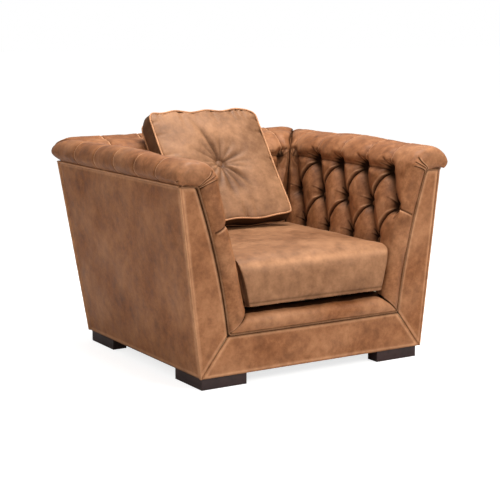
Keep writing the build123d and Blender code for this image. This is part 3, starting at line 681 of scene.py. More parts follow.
def crease_and_wear(depth, slit, edge, place):
    """Painted shade in the deep folds and along slits and seams, and how worn the leather is, with painted
    highlight on the fold lips.
    """
    crease = np.clip(0.96 * smooth((depth - 0.015) / 0.026) + 0.92 * slit, 0, 0.98)
    wear = np.clip(edge + 0.20 * uneven(place, BROAD) * (depth < 0.006), 0, 1) * (1 - 0.6 * slit)
    return crease, wear


# ---------------------------------------------------------------- arms
ARM_ROWS, FRONT_COLUMNS, SIDE_COLUMNS = 262, 44, 300
REAR_DROP, FRONT_DROP, SHOULDER_DROP = 0.009, 0.015, 0.011      # where the rolls hang lower
NOSE, ROLL_NOSE = 0.034, 0.022              # how far an arm's front bulges, and more at the roll
END_TURN = radians(150)
WRAP = 0.110                                # leather from the wall's front edge to the welt


def opening_x(z):
    """The welt line round the front opening, as it widens upwards."""
    t = (z - BAND_Z) / (WALL_TOP_Z - BAND_Z)
    return 0.363 + 0.060 * t + 0.060 * t * t


CORNER_Z = 0.701                            # where that line turns out to the side
CORNER_X = opening_x(CORNER_Z)


def arm_front_line(section):
    """Where each row of an arm meets the welt on the facing."""
    z = section[:, 1]
    shoulder = int(np.argmax(z > SHOULDER_Z))
    rows = len(z)
    line = np.zeros((rows, 2))
    low = np.linspace(0, 1, shoulder)
    line[:shoulder, 1] = BAND_Z + (CORNER_Z - BAND_Z) * low
    line[:shoulder, 0] = opening_x(line[:shoulder, 1])
    high = np.linspace(0, 1, rows - shoulder)
    step = 0.007
    line[shoulder:, 0] = CORNER_X + (BELT_X + 0.001 - CORNER_X) * high
    line[shoulder:, 1] = CORNER_Z + step * np.sqrt(high) + (BELT_Z - CORNER_Z - step) * high
    return softened(line, 6), shoulder


def arm_folds(b, shoulder):
    """An arm's buttons, and every fold of it with those of its front and shoulder."""
    rows = button_rows(ARM_ROW_STARTS, ARM_PITCH, ARM_ROW_COUNTS, hypot(1, ARM_SLOPE))
    folds = buttoned_folds(rows, ARM_PITCH, b[-1], b[0], 21)
    button = rows[1][0]
    ahead = (-0.070, button[1] + 0.004)
    folds.append(Fold(button, ahead, (ROW_RECESS[1], 0.004, 0.002), (0.014, 0.020), 0.004, 0.6, 0.9))
    corner = b[shoulder]
    for k in range(3):
        foot = (-0.080 + 0.003 * k, corner - 0.010 + 0.014 * k)
        tip = (-0.018 + 0.006 * k, corner - 0.002 + 0.027 * k)
        folds.append(Fold(foot, tip, (0.008, 0.010, 0.001), (0.011, 0.020), 0.005, 1.0, 1.0))
    side, bend = (0.008, b[-1]), (-0.004, b[-1] - 0.046)
    folds.append(Fold(side, bend, (0.006, 0.007, 0.006), (0.014, 0.012), 0.003, 0.6, 1.0))
    folds.append(Fold(bend, (-0.022, b[-1] - 0.060), (0.006, 0.005, 0), (0.012, 0.012), 0, 0.6, 0.9))
    folds.append(Fold((-WRAP, b[0]), (0.060, b[0]), (0.007, 0.007, 0.007), (0.026, 0.026), 0, 0.3, 0.9))
    return rows, folds


def arm_skin(section, inward, front_line):
    """The right arm's smooth skin: points, a, inward directions, run and distance past the mitre."""
    roll = smooth((section[:, 1] - 0.700) / 0.05)
    roll[np.argmax(section[:, 1]) :] = 1
    bulge = (NOSE + ROLL_NOSE * roll)[:, None]
    turn_y = FRONT_Y + 0.002 + bulge[:, 0] * sin(END_TURN)
    run, plain_end, end_y = corner_ends(section, inward, mitre_y)
    along = np.linspace(0, 1, SIDE_COLUMNS)[None, :]
    side_y = turn_y[:, None] + along * (end_y - turn_y)[:, None]
    side_u = np.broadcast_to(section[:, 0, None], side_y.shape)
    side_z = np.broadcast_to(section[:, 1, None], side_y.shape)

    turn = np.linspace(END_TURN, 0, FRONT_COLUMNS, endpoint=False)[None, :]
    away = front_line - section
    width = np.linalg.norm(away, axis=1)[:, None]
    away = away / np.maximum(width, 1e-6)
    half = width / (1 - cos(END_TURN))
    power = (0.90 - 0.34 * roll)[:, None]
    shift = half * (1 - np.sign(np.cos(turn)) * np.abs(np.cos(turn)) ** power)
    shift = shift * width / np.maximum(shift[:, :1], 1e-6)
    rise = np.sin(turn) ** power
    late = sin(END_TURN) + (rise - rise[:, :1]) * (1 - sin(END_TURN)) / (1 - rise[:, :1])
    rise = np.where(turn > pi / 2, late, rise)
    front_y = turn_y[:, None] - bulge * rise
    front_u = section[:, 0, None] + away[:, 0, None] * shift
    front_z = section[:, 1, None] + away[:, 1, None] * shift

    front = np.stack([front_u, front_y, front_z], -1)
    points = np.concatenate([front, np.stack([side_u, side_y, side_z], -1)], 1)
    a_front = (turn_y - FRONT_Y)[:, None] - WRAP * turn / END_TURN
    a = np.concatenate([a_front, side_y - FRONT_Y], 1)
    past = (points[..., 1] - plain_end[:, None]) * ARM_TO_MITRE

    lateral = np.stack([away[:, 0], np.zeros(len(away)), away[:, 1]], -1)[:, None]
    plain = np.stack([inward[:, 0], np.zeros(len(inward)), inward[:, 1]], -1)[:, None]
    turn_full = np.concatenate([np.broadcast_to(turn, front_u.shape), np.zeros_like(side_y)], 1)[..., None]
    nose = lateral * np.cos(turn_full) / np.maximum(half, 0.01)[..., None]
    nose = nose + np.array((0, 1, 0)) * np.sin(turn_full) / bulge[..., None]
    nose /= np.linalg.norm(nose, axis=-1, keepdims=True) + 1e-9
    share = smooth(turn_full / radians(45))
    return points, a, unit(plain * (1 - share) + nose * share), run, past


def arm_surface():
    """The right arm's folded skin: grid of points, painted shade, wear with painted highlight; and its
    buttons' places.
    """
    section, b, inward = wall_section(ARM_WALL, ARM_WALL_TOP, ARM_CREST, BELT_X, BAND_TOP_Z, ARM_ROWS)
    front_line, shoulder = arm_front_line(section)
    rows, folds = arm_folds(b, shoulder)
    points, a, way, run, past = arm_skin(section, inward, front_line)
    b_grid = np.broadcast_to(b[:, None], a.shape)
    depth, slit, edge = fold_field(a, b_grid, folds)
    depth = depth * (1 - 0.55 * smooth(-a / 0.06))
    depth, slit, shade = mitred_folds(depth, slit, past, run, ARM_MEET)
    fixed = smooth((b[-1] - b_grid) / 0.02) * smooth((a + WRAP - 0.02) / 0.02)
    points = pressed(points, way, depth, slit, edge, fixed)
    low = FRONT_DROP * np.clip((0.70 - a) / 0.70, 0, 1.1) + REAR_DROP * smooth((a - 0.45) / 0.30)
    low += SHOULDER_DROP * smooth((points[..., 0] - ARM_CREST) / 0.06) * smooth((0.22 - a) / 0.22)
    points[..., 2] -= low * smooth((points[..., 2] - BELT_Z) / 0.06)
    crease, wear = crease_and_wear(shade, slit, edge, points)
    # Painted shade low on the wall under the seat cushion, and along the welt line at its front edge.
    under_seat_shade = smooth((0.30 - points[..., 2]) / 0.05) * (points[..., 1] > FRONT_Y + 0.03)
    welt_line_shade = bell(a + WRAP, 0.006) * (b_grid < b[shoulder])
    crease = np.clip(crease + 0.5 * under_seat_shade + 0.85 * welt_line_shade, 0, 0.97)
    return points, crease, wear, rows


def lathe(profile, sides, centre, axis, gather=0.0, seed=0):
    """A turned cap about an axis; gather puckers its rim."""
    axis = unit(np.asarray(axis, float))
    across = unit(np.cross(axis, (0.31, 0.17, 0.93)))
    other = np.cross(axis, across)
    draw = np.random.default_rng(seed)
    phase = draw.uniform(0, 2 * pi)
    angle = np.linspace(0, 2 * pi, sides, endpoint=False)
    points = []
    top = max(r for r, h in profile)
    for r, h in profile:
        size = r * (1 + gather * (r / top) ** 3 * np.sin(9 * angle + phase))
        ring = np.cos(angle)[:, None] * across + np.sin(angle)[:, None] * other
        points.append(np.asarray(centre) + size[:, None] * ring + h * axis)
    points = np.concatenate(points)
    faces = grid_faces(len(profile), sides, wrap=True)
    faces.append(list(range(sides - 1, -1, -1)))
    faces.append([(len(profile) - 1) * sides + k for k in range(sides)])
    return points, faces


def covered_button(centre, axis, radius, seed):
    """A leather-covered button: a low dome with a gathered rim."""
    dome = [(radius * 0.55, -0.45 * radius), (radius * 0.93, -0.30 * radius), (radius, -0.08 * radius)]
    dome += [(radius * cos(t), radius * 0.50 * sin(t)) for t in np.linspace(0.15, 1.45, 8)]
    return lathe(dome, 28, centre, axis, 0.035, seed)


BUTTON_SHADE = 0.55                          # painted shade on the buttons, set deep in their pockets


def wall_buttons(rows, place, axis):
    """Covered buttons of one wall; place turns (a, row height, recess) into a point."""
    parts = []
    seed = 0
    for row, z, recess in zip(rows, ROW_Z, ROW_RECESS):
        for a, _ in row:
            seed += 1
            parts.append(covered_button(place(a, z, recess + 0.004), axis, BUTTON_RADIUS, seed))
    return parts


def make_arms():
    """Both padded arms and their buttons; the left arm mirrors the right one."""
    points, crease, wear, rows = arm_surface()

    def place(a, z, recess):
        return np.array((ARM_WALL + ARM_SLOPE * (z - DECK_Z) + recess, FRONT_Y + a, z - recess * ARM_SLOPE))

    buttons = wall_buttons(rows, place, (-1, 0, ARM_SLOPE))
    for side, sign in (("right", 1), ("left", -1)):
        flip = np.array((sign, 1, 1))
        replaced = (f"inside_arm_leather_{side}", f"arm_foam_{side}")
        name = f"padded_arm_{side}"
        closed_wall(name, points * flip, tan, replaced, FRONT_COLUMNS, crease=crease, wear=wear)
        parts = [(some * flip, faces) for some, faces in buttons]
        name = f"covered_arm_buttons_{side}"
        joined(name, parts, tan, "root", [f"arm_buttons_{side}"], BUTTON_SHADE)


# ---------------------------------------------------------------- back
BACK_ROWS, BACK_COLUMNS = 256, 372


def make_back():
    """The padded back between the arms, and its buttons."""
    low_z = DECK_Z - 0.004
    section, b, inward = wall_section(BACK_WALL, BACK_WALL_TOP, BACK_CREST, BELT_REAR_Y, low_z, BACK_ROWS)
    starts = [-h * BACK_PITCH for h in BACK_HALF_COUNTS]
    counts = [int(2 * h + 1) for h in BACK_HALF_COUNTS]
    rows = button_rows(starts, BACK_PITCH, counts, hypot(1, BACK_SLOPE))
    folds = buttoned_folds(rows, BACK_PITCH, b[-1], b[0], 22)
    run, plain_end, end_x = corner_ends(section, inward, mitre_x)
    across = np.linspace(-1, 1, BACK_COLUMNS)[None, :]
    x = across * end_x[:, None]
    y = np.broadcast_to(section[:, 0, None], x.shape)
    z = np.broadcast_to(section[:, 1, None], x.shape)
    points = np.stack([x, y, z], -1)
    b_grid = np.broadcast_to(b[:, None], x.shape)
    depth, slit, edge = fold_field(x, b_grid, folds)
    past = (np.abs(x) - plain_end[:, None]) * BACK_TO_MITRE
    depth, slit, shade = mitred_folds(depth, slit, past, run, BACK_MEET)
    way = np.stack([np.zeros(len(b)), inward[:, 0], inward[:, 1]], -1)[:, None]
    points = pressed(points, way, depth, slit, edge, smooth((b[-1] - b_grid) / 0.02))
    points[..., 2] -= REAR_DROP * smooth((points[..., 2] - BELT_Z) / 0.06)
    crease, wear = crease_and_wear(shade, slit, edge, points)
    replaced = ("inside_back_leather", "back_foam")
    closed_wall("padded_back", points, tan, replaced, crease=crease, wear=wear)

    def place(a, z, recess):
        return np.array((a, BACK_WALL + BACK_SLOPE * (z - DECK_Z) + recess, z - recess * BACK_SLOPE))

    parts = wall_buttons(rows, place, (0, -1, BACK_SLOPE))
    joined("covered_back_buttons", parts, tan, "root", ["back_buttons"], BUTTON_SHADE)


# ---------------------------------------------------------------- front band, facings, outsides
BAND_LIP, BAND_LIP_DEPTH = 0.0182, 0.013    # the band's rear edge stands up under the seat cushion


def make_front_band():
    """The padded band of the front rail, between the arms' bands."""
    turn_y = FRONT_Y + 0.002 + NOSE * sin(END_TURN)
    back_rows, front_rows, columns = 14, 34, 200
    across = np.linspace(-1, 1, columns)[None, :]
    rise = np.linspace(1, 0, back_rows, endpoint=False)[:, None]
    turn = np.linspace(0, END_TURN, front_rows)[:, None]
    width = BAND_TOP_Z - BAND_Z
    full_turn = 1 - cos(END_TURN)
    low = np.concatenate([np.zeros((back_rows, 1)), (1 - np.cos(turn)) / full_turn])
    x = (ARM_WALL + (opening_x(BAND_Z) - ARM_WALL) * low) * across
    y = turn_y + np.concatenate([BAND_LIP_DEPTH * smooth(rise * 1.6), -NOSE * np.sin(turn)])
    lip = np.concatenate([BAND_LIP * smooth(rise * 1.6 - 0.6), np.zeros_like(turn)])
    z = BAND_TOP_Z + lip - width * low
    points = np.stack([x, np.broadcast_to(y, x.shape), np.broadcast_to(z, x.shape)], -1)
    down = np.stack([np.zeros_like(turn), np.sin(turn) / NOSE, -np.cos(turn) * full_turn / width], -1)
    way = np.concatenate([np.broadcast_to((0, 0, -1), (back_rows, 1, 3)), unit(down)])
    end = (1 - np.abs(across)) * 0.33
    crease_dip = 0.007 * np.clip(1 - end / 0.026, 0, 1) ** 2.3
    swell = 0.0030 * uneven(points, BROAD) + 0.0012 * uneven(points, FINE)
    move = (crease_dip + 0.002 - swell) * smooth((1 - low) / 0.2)
    points = points + way * move[..., None]
    # Painted shade at the band's ends and along its low edge, and on its rear rows, under the seat cushion.
    crease = 0.85 * bell(end, 0.003) + 0.85 * smooth((low - 0.92) / 0.08)
    crease[:back_rows] = 0.9 * smooth(rise * 1.6)
    wear = np.clip(0.25 + 0.3 * uneven(points, BROAD), 0, 1)
    replaced = ("front_band_leather", "front_band_foam")
    closed_wall("padded_front_band", points, tan_panel, replaced, crease=crease, wear=wear)


PANEL_THICKNESS = 0.004


def ruled_panel(first, second, rows):
    """Points between two lines, row by row, and each point's nearness to the rim (0 at it)."""
    t = np.linspace(0, 1, rows)[:, None, None]
    grid = first[None] * (1 - t) + second[None] * t
    across = np.minimum(t[..., 0], 1 - t[..., 0]) * np.linalg.norm(second - first, axis=1)[None]
    steps = np.concatenate([[0], np.cumsum(np.linalg.norm(np.diff(first, axis=0), axis=1))])
    along = np.minimum(steps, steps[-1] - steps)[None]
    return grid, np.minimum(across, along)


def panel(name, first, second, rows, outward, crown, sway, replaced, groove_shade=0.0, drawn=0.0026):
    """A leather panel, full in the middle and drawn in at its rim, with painted shade where the rim is drawn
    in; groove is painted shade along its first edge, in the welt's recess.
    """
    grid, rim = ruled_panel(first, second, rows)
    lift = crown * smooth(rim / 0.09) - drawn * np.exp(-rim / 0.006)
    lift += sway * uneven(grid, BROAD) * smooth(rim / 0.05)
    lift += 0.25 * sway * uneven(grid, FINE) * smooth(rim / 0.03)
    outward = unit(np.asarray(outward, float))
    grid = grid + outward * lift[..., None]
    from_first = np.linspace(0, 1, rows)[:, None] * np.linalg.norm(second - first, axis=1)[None]
    # Painted shade where the rim is drawn in and along the first edge, in the welt's recess.
    crease = np.maximum(100 * drawn * bell(rim, 0.003), groove_shade * bell(from_first, 0.0062))
    wear = np.clip(0.55 * bell(rim - 0.009, 0.005) + 0.12 + 0.15 * uneven(grid, BROAD), 0, 1)
    item = closed_patch(name, grid, PANEL_THICKNESS, -outward, tan_panel, crease=crease, wear=wear)
    declared(item, "root", [replaced])


def straight(start, end, count):
    """Points along a straight line."""
    t = np.linspace(0, 1, count)[:, None]
    return np.asarray(start) * (1 - t) + np.asarray(end) * t


def make_outsides():
    """The flat panels: front facings, outside arms, front rail and outside back."""
    y = FRONT_Y + 0.0005
    low_z, top_z = BASE_Z + 0.0005, BELT_Z - 0.001
    low_x = opening_x(BAND_Z)
    heights = np.linspace(BAND_Z, CORNER_Z + 0.004, 90)
    inner_x = opening_x(heights) + 0.004 + 0.004 * smooth((heights - CORNER_Z + 0.012) / 0.016)
    inner = np.stack([inner_x, np.full(90, y), heights], -1)
    outer = straight((BASE_X, y, low_z), (BELT_X - 0.001, y, BELT_Z - 0.003), 90)
    ends = []
    for low_y, high_y in ((FRONT_Y + 0.006, FRONT_Y + 0.006), (BASE_REAR_Y - 0.004, BELT_REAR_Y - 0.004)):
        ends.append(straight((BASE_X, low_y, BASE_Z), (BELT_X, high_y, top_z), 110))
    for side, sign in (("right", 1), ("left", -1)):
        flip = np.array((sign, 1, 1))
        name = f"front_facing_{side}"
        replaced = f"front_facing_leather_{side}"
        panel(name, inner * flip, outer * flip, 26, (0, -1, 0), 0.0030, 0.0010, replaced, 0.95, 0.0009)
        outward = np.array((BELT_Z - BASE_Z, 0, BASE_X - BELT_X)) * flip
        name, replaced = f"outside_arm_{side}", f"outside_arm_leather_{side}"
        panel(name, ends[0] * flip, ends[1] * flip, 150, outward, 0.0030, 0.0022, replaced)
    top = straight((-low_x, y, BAND_Z - 0.004), (low_x, y, BAND_Z - 0.004), 150)
    bottom = straight((-BASE_X, y, low_z), (BASE_X, y, low_z), 150)
    replaced = "front_rail_leather"
    panel("front_rail_facing", top, bottom, 34, (0, -1, 0), 0.0035, 0.0014, replaced, 0.9, 0.0009)
    left = straight((-BASE_X + 0.004, BASE_REAR_Y, BASE_Z), (-BELT_X + 0.004, BELT_REAR_Y, top_z), 110)
    outward = (0, BELT_Z - BASE_Z, BASE_REAR_Y - BELT_REAR_Y)
    panel("outside_back", left, left * MIRROR, 160, outward, 0.0030, 0.0022, "outside_back_leather")


# ---------------------------------------------------------------- welts
WELT_STEP = 0.005


def welt(name, lines, replaced, radius=WELT_RADIUS, recess_shade=0.0):
    """Leather piping along one or more lines, darkened by painted shade where it lies in a recess."""
    parts = []
    for line in lines:
        length = np.sum(np.linalg.norm(np.diff(line, axis=0), axis=1))
        points, _ = resample(line, max(8, int(length / WELT_STEP)))
        parts.append(tube_mesh(points, radius, 12, wobble=0.10))
    joined(name, parts, tan_welt, "root", [replaced], crease=recess_shade, wear=0.5 * (1 - recess_shade))


def opening_line():
    """The welt round the front opening, from one outer corner to the other."""
    y = FRONT_Y - 0.0022
    low_z, high_z, top_z = BAND_Z + 0.008, CORNER_Z - 0.010, BELT_Z - 0.0055
    low_x, high_x = (opening_x(z) + 0.0005 for z in (low_z, high_z))
    turn = np.linspace(0.2, pi / 2, 7)
    rail = [(x, y, BAND_Z - 0.0005) for x in np.linspace(0, low_x - 0.012, 40)]
    foot = [(low_x - 0.009 * (1 - cos(t)), y, low_z - 0.0085 * sin(t)) for t in turn[::-1]]
    right = [(opening_x(z) + 0.0005, y, z) for z in np.linspace(low_z, high_z, 70)]
    bend = [(high_x + 0.010 * (1 - cos(t)), y, high_z + 0.013 * sin(t)) for t in turn]
    bend_x, _, bend_z = bend[-1]
    outwards = np.linspace(bend_x + 0.004, BELT_X + 0.001, 24)
    out = [(x, y, bend_z + (top_z - bend_z) * smooth((x - bend_x) / 0.05)) for x in outwards]
    half = np.array(rail + foot + right + bend + out)
    return np.concatenate([(half * MIRROR)[::-1], half[1:]])


def make_welts():
    """The welts round the opening, under the rolls and, in pairs, on the outside corners."""
    welt("opening_piping", [opening_line()], "opening_welt", recess_shade=0.5)
    z = BELT_Z - 0.0036
    out_x, rear = BELT_X + 0.0038, BELT_REAR_Y + 0.0038
    corner = 0.010
    line = [(-out_x, FRONT_Y - 0.001, z), (-out_x, rear - corner, z)]
    for t in np.linspace(0.2, pi / 2, 8):
        line.append((-out_x + corner * (1 - cos(t)), rear - corner + corner * sin(t), z))
    line = np.array(line)
    welt("roll_piping", [np.concatenate([line, (line * MIRROR)[::-1]])], "roll_welts")
    corners = []
    pair_gap = 0.0078
    for sign in (-1, 1):
        for low_y, high_y, inwards in (
            (FRONT_Y - 0.0005, FRONT_Y - 0.0005, pair_gap),
            (BASE_REAR_Y, BELT_REAR_Y, -pair_gap),
        ):
            for out, step in ((0.0004, 0), (0, inwards)):
                low = (sign * (BASE_X + out), low_y + step, BASE_Z + 0.001)
                high = (sign * (BELT_X + out), high_y + step, BELT_Z - 0.006)
                corners.append(straight(low, high, 60))
    welt("corner_piping", corners, "corner_welts", 0.0026)


# ---------------------------------------------------------------- loose cushions
def box_grid(nx, ny, nz):
    """A closed box of quads: its vertices' (p, q, r) from -1 to 1, and its faces."""
    index = {}
    faces = []

    def quad(*corners):
        faces.append([index.setdefault(corner, len(index)) for corner in corners])

    for i in range(nx):
        for j in range(ny):
            quad((i, j, nz), (i + 1, j, nz), (i + 1, j + 1, nz), (i, j + 1, nz))
            quad((i, j, 0), (i, j + 1, 0), (i + 1, j + 1, 0), (i + 1, j, 0))
        for k in range(nz):
            quad((i, 0, k), (i + 1, 0, k), (i + 1, 0, k + 1), (i, 0, k + 1))
            quad((i, ny, k), (i, ny, k + 1), (i + 1, ny, k + 1), (i + 1, ny, k))
    for j in range(ny):
        for k in range(nz):
            quad((0, j, k), (0, j, k + 1), (0, j + 1, k + 1), (0, j + 1, k))
            quad((nx, j, k), (nx, j + 1, k), (nx, j + 1, k + 1), (nx, j, k + 1))
    return 2 * np.array(list(index)) / (nx, ny, nz) - 1, faces


SWELL_PRESSURE, SWELL_LIMIT, SWELL_FRAMES = 4.0, 0.012, 20


def inflate(item, pins):
    """Swells a closed cover with cloth simulation; no point moves further than the limit."""
    rest = np.array([v.co for v in item.data.vertices])
    group = item.vertex_groups.new(name="sewn")
    for i, weight in enumerate(pins):
        if weight > 0:
            group.add([i], float(weight), "REPLACE")
    cloth = item.modifiers.new("swell", "CLOTH")
    settings = cloth.settings
    settings.quality = 5
    settings.mass = 0.35
    settings.tension_stiffness = 18
    settings.compression_stiffness = 18
    settings.shear_stiffness = 8
    settings.bending_stiffness = 1.2
    settings.use_pressure = True
    settings.uniform_pressure_force = SWELL_PRESSURE
    settings.effector_weights.gravity = 0
    settings.vertex_group_mass = "sewn"
    scene = bpy.context.scene
    for step in range(1, SWELL_FRAMES + 1):
        scene.frame_set(step)
    shaped = item.evaluated_get(bpy.context.evaluated_depsgraph_get())
    swollen = np.array([v.co for v in shaped.data.vertices])
    item.modifiers.remove(cloth)
    item.vertex_groups.clear()
    scene.frame_set(1)
    move = swollen - rest
    far = np.linalg.norm(move, axis=1, keepdims=True)
    move *= np.minimum(1, SWELL_LIMIT / np.maximum(far, 1e-9))
    set_points(item, rest + move)
    return rest + move


def vertex_values(item, key):
    """A position or normal of every vertex."""
    values = np.zeros(len(item.data.vertices) * 3)
    item.data.vertices.foreach_get(key, values)
    return values.reshape(-1, 3)


def set_points(item, points):
    """Moves an object's vertices."""
    item.data.vertices.foreach_set("co", np.asarray(points, np.float32).ravel())
    item.data.update()


def subdivide(item):
    """Applies one level of subdivision; returns the box parameters, points and normals."""
    bpy.context.view_layer.objects.active = item
    refine = item.modifiers.new("refine", "SUBSURF")
    refine.levels = 1
    shaped = item.evaluated_get(bpy.context.evaluated_depsgraph_get())
    mesh = bpy.data.meshes.new_from_object(shaped)
    item.modifiers.remove(refine)
    old = item.data
    item.data = mesh
    bpy.data.meshes.remove(old)
    mesh.update()
    params = np.zeros((3, len(mesh.vertices)))
    for key, row in zip("pqr", params):
        mesh.attributes[key].data.foreach_get("value", row)
    return params, vertex_values(item, "co"), vertex_values(item, "normal")


def write_values(item, key, values):
    """Numbers per vertex that the object's material reads."""
    layer = item.data.attributes.new(key, "FLOAT", "POINT")
    layer.data.foreach_set("value", np.asarray(values, np.float32).ravel())


def line_dip(gap, reach):
    """A sewn seam's dip across its width."""
    return np.exp(-np.abs(gap) / reach)


def seat_shape():
    """The seat cushion's cover, swollen by its filling."""
    params, faces = box_grid(64, 68, 18)
    p, q, r = params.T
    height = SEAT_EDGE_Z - SEAT_BOTTOM_Z
    inset = 0.007                               # room for the cover to swell into
    up = (r + 1) / 2
    half = SEAT_HALF_LOW + (SEAT_HALF_HIGH - SEAT_HALF_LOW) * up - inset
    depth = SEAT_DEPTH_LOW + (SEAT_DEPTH_HIGH - SEAT_DEPTH_LOW) * up
    waist = 1 - 0.010 * (1 - q * q)
    x = p * half * waist
    ahead = (q + 1) / 2
    y = SEAT_FRONT_Y + inset + ahead * (depth - 2 * inset) + 0.004 * (1 - p * p) * (1 - ahead)
    z = SEAT_BOTTOM_Z + up * height
    crown = SEAT_CROWN * (1 - p**2) * (1 - q**4)
    z = z + np.where(r > 0, crown * r, 0) + 0.001
    from_front = y - SEAT_FRONT_Y
    at_front = np.clip(1 - from_front / 0.050, 0, 1)
    z = z - SEAT_ROUNDING * at_front**2.1 * smooth(up * 1.6 - 0.6)
    z = z + 0.007 * at_front * np.clip(1 - 3 * up, 0, 1)
    y = y + SEAT_SETBACK * np.clip((up - 0.45) / 0.55, 0, 1) ** 2.4 * (1 - ahead) ** 6
    points = np.stack([x, y, z], -1)
    item = new_object("seat_cushion_leather", points, faces, tan_seat_shaded, p=p, q=q, r=r)
    resting = (r < -0.99) | (q > 0.99)
    pins = np.where(resting, 1.0, np.where(np.abs(p) > 0.99, 0.85, 0.0))
    inflate(item, pins)
    return item


def make_seat_cushion():
    """The seat cushion: its top panel rolls over the front edge down to a low seam."""
    item = seat_shape()
    (p, q, r), points, normals = subdivide(item)
    front = smooth((-q - 0.90) / 0.08)
    side = smooth((np.abs(p) - 0.95) / 0.05)
    corner = (np.abs(p) - 1) * SEAT_HALF_HIGH
    low_seam = points[:, 2] - SEAT_SEAM_Z
    front_seam = np.where(front > 0.5, corner, 1.0)
    top_seam = np.where(r > 0.9, corner, 1.0)
    on_side = np.where(np.abs(p) > 0.985, (1 - r) * 0.086, 1.0)
    gaps = [np.where((front > 0.5) | (side > 0.5), low_seam, 1.0), front_seam, top_seam, on_side]
    seam = np.max([line_dip(g, 0.0045) for g in gaps], axis=0)
    seam_shade = np.max([line_dip(g, 0.0028) for g in gaps], axis=0)
    folds = np.zeros(len(points))
    draw = np.random.default_rng(5)
    for _ in range(22):
        at_x = draw.uniform(-0.30, 0.30)
        lean = draw.uniform(-0.25, 0.25)
        away = points[:, 0] - at_x - lean * (points[:, 2] - 0.30)
        tall = draw.uniform(0.020, 0.050)
        folds += front * bell(away, 0.006) * np.exp(-np.clip(low_seam, 0, 1) / tall)
    ripple = 0.0016 * uneven(points, BROAD) + 0.0006 * uneven(points, FINE)
    soft = smooth((r + 0.95) / 0.2)
    move = -0.0035 * seam - 0.0008 * folds + ripple * soft * (1 - seam)
    points = points + normals * move[:, None]
    set_points(item, points)
    paled = bell(points[:, 2] - SEAT_EDGE_Z + SEAT_ROUNDING, 0.012) * front
    write_values(item, "wear", np.clip(0.15 + 0.12 * uneven(points, BROAD) + 0.35 * paled, 0, 1))
    # Painted shade along the seams and in the small folds at the front.
    write_values(item, "crease", np.clip(0.55 * seam_shade + 0.04 * folds, 0, 0.9))
    declared(item, "seat_cushion", ("seat_cushion_cover", "seat_cushion_core"))


def pillow_axes():
    """Axes of the leaning scatter cushion: across, up its face, out of its face."""
    out = np.array((0, -cos(PILLOW_LEAN), sin(PILLOW_LEAN)))
    across = np.array((1.0, 0, 0))
    return np.stack((across, np.cross(out, across), out))


def rounded_corners(x, y, half, share):
    """Rounds the corners of a square outline, by a share between 0 and 1."""
    reach = 0.17 * half
    u = np.clip((np.abs(x) - half + reach) / reach, 0, 1)
    v = np.clip((np.abs(y) - half + reach) / reach, 0, 1)
    pull_x = u * (np.sqrt(1 - v * v / 2) - 1) * reach * share
    pull_y = v * (np.sqrt(1 - u * u / 2) - 1) * reach * share
    return x + np.sign(x) * pull_x, y + np.sign(y) * pull_y


def pillow_shape(axes):
    """The scatter cushion's cover, drawn in by its button, and the two lines of its pipings."""
    params, faces = box_grid(60, 60, 10)
    p, q, r = params.T
    half = PILLOW_SIZE / 2 - 0.004
    slack, belly, fullness = 0.012, 0.009, 0.0215
    dimple_front, dimple_rear = 0.027, 0.020
    x = p * half * (1 - slack * (1 - q * q) * (0.6 + 0.4 * np.cos(5 * q + 1)))
    y = q * half * (1 - slack * (1 - p * p) * (0.7 + 0.3 * np.cos(7 * p)))
    x, y = rounded_corners(x, y, half, np.where(q > 0, 1.0, 0.45))
    upper = 0.0045 * np.sin(11 * p + 0.7)
    lower = 0.003 * np.sin(8 * p + 2) - 0.007 * (1 - p**4) * (1 + r)
    y = y + (upper * (q > 0.9) + lower * (q < -0.9)) * np.abs(q) ** 8
    face = np.abs(r) > 0.99
    full = 0.0015 + fullness * ((1 - p * p) * (1 - q * q)) ** 0.55
    rear_flat = np.where(r < 0, 0.35, 1.0)
    radius = np.hypot(x, y)
    dimple = np.exp(-radius / 0.048) * np.where(r > 0, dimple_front, dimple_rear)
    z = r * (PILLOW_BORDER / 2) + np.sign(r) * (full * rear_flat - dimple) * face
    x = x + np.sign(x) * belly * (1 - r * r) * (np.abs(p) == 1)
    y = y + np.sign(y) * belly * (1 - r * r) * (np.abs(q) == 1)
    local = np.stack([x, y, z], -1)
    points = local @ axes + PILLOW_CENTRE
    item = new_object("scatter_cushion_leather", points, faces, tan_pillow_shaded, p=p, q=q, r=r)
    rings = []
    edge = (np.maximum(np.abs(p), np.abs(q)) > 0.99) & face
    pins = np.where((radius < 0.016) & face, 1.0, np.where(edge, 0.9, 0.0))
    points = inflate(item, np.where(r < -0.5, 1.0, pins))
    for level in (1, -1):
        ring = [i for i in range(len(params)) if r[i] == level and max(abs(p[i]), abs(q[i])) == 1]
        ring.sort(key=lambda i: atan2(q[i], p[i]))
        line = points[ring] - PILLOW_CENTRE
        flat = line - np.outer(line @ axes[2], axes[2])
        rings.append(points[ring] + unit(flat) * 0.0010)
    return item, rings


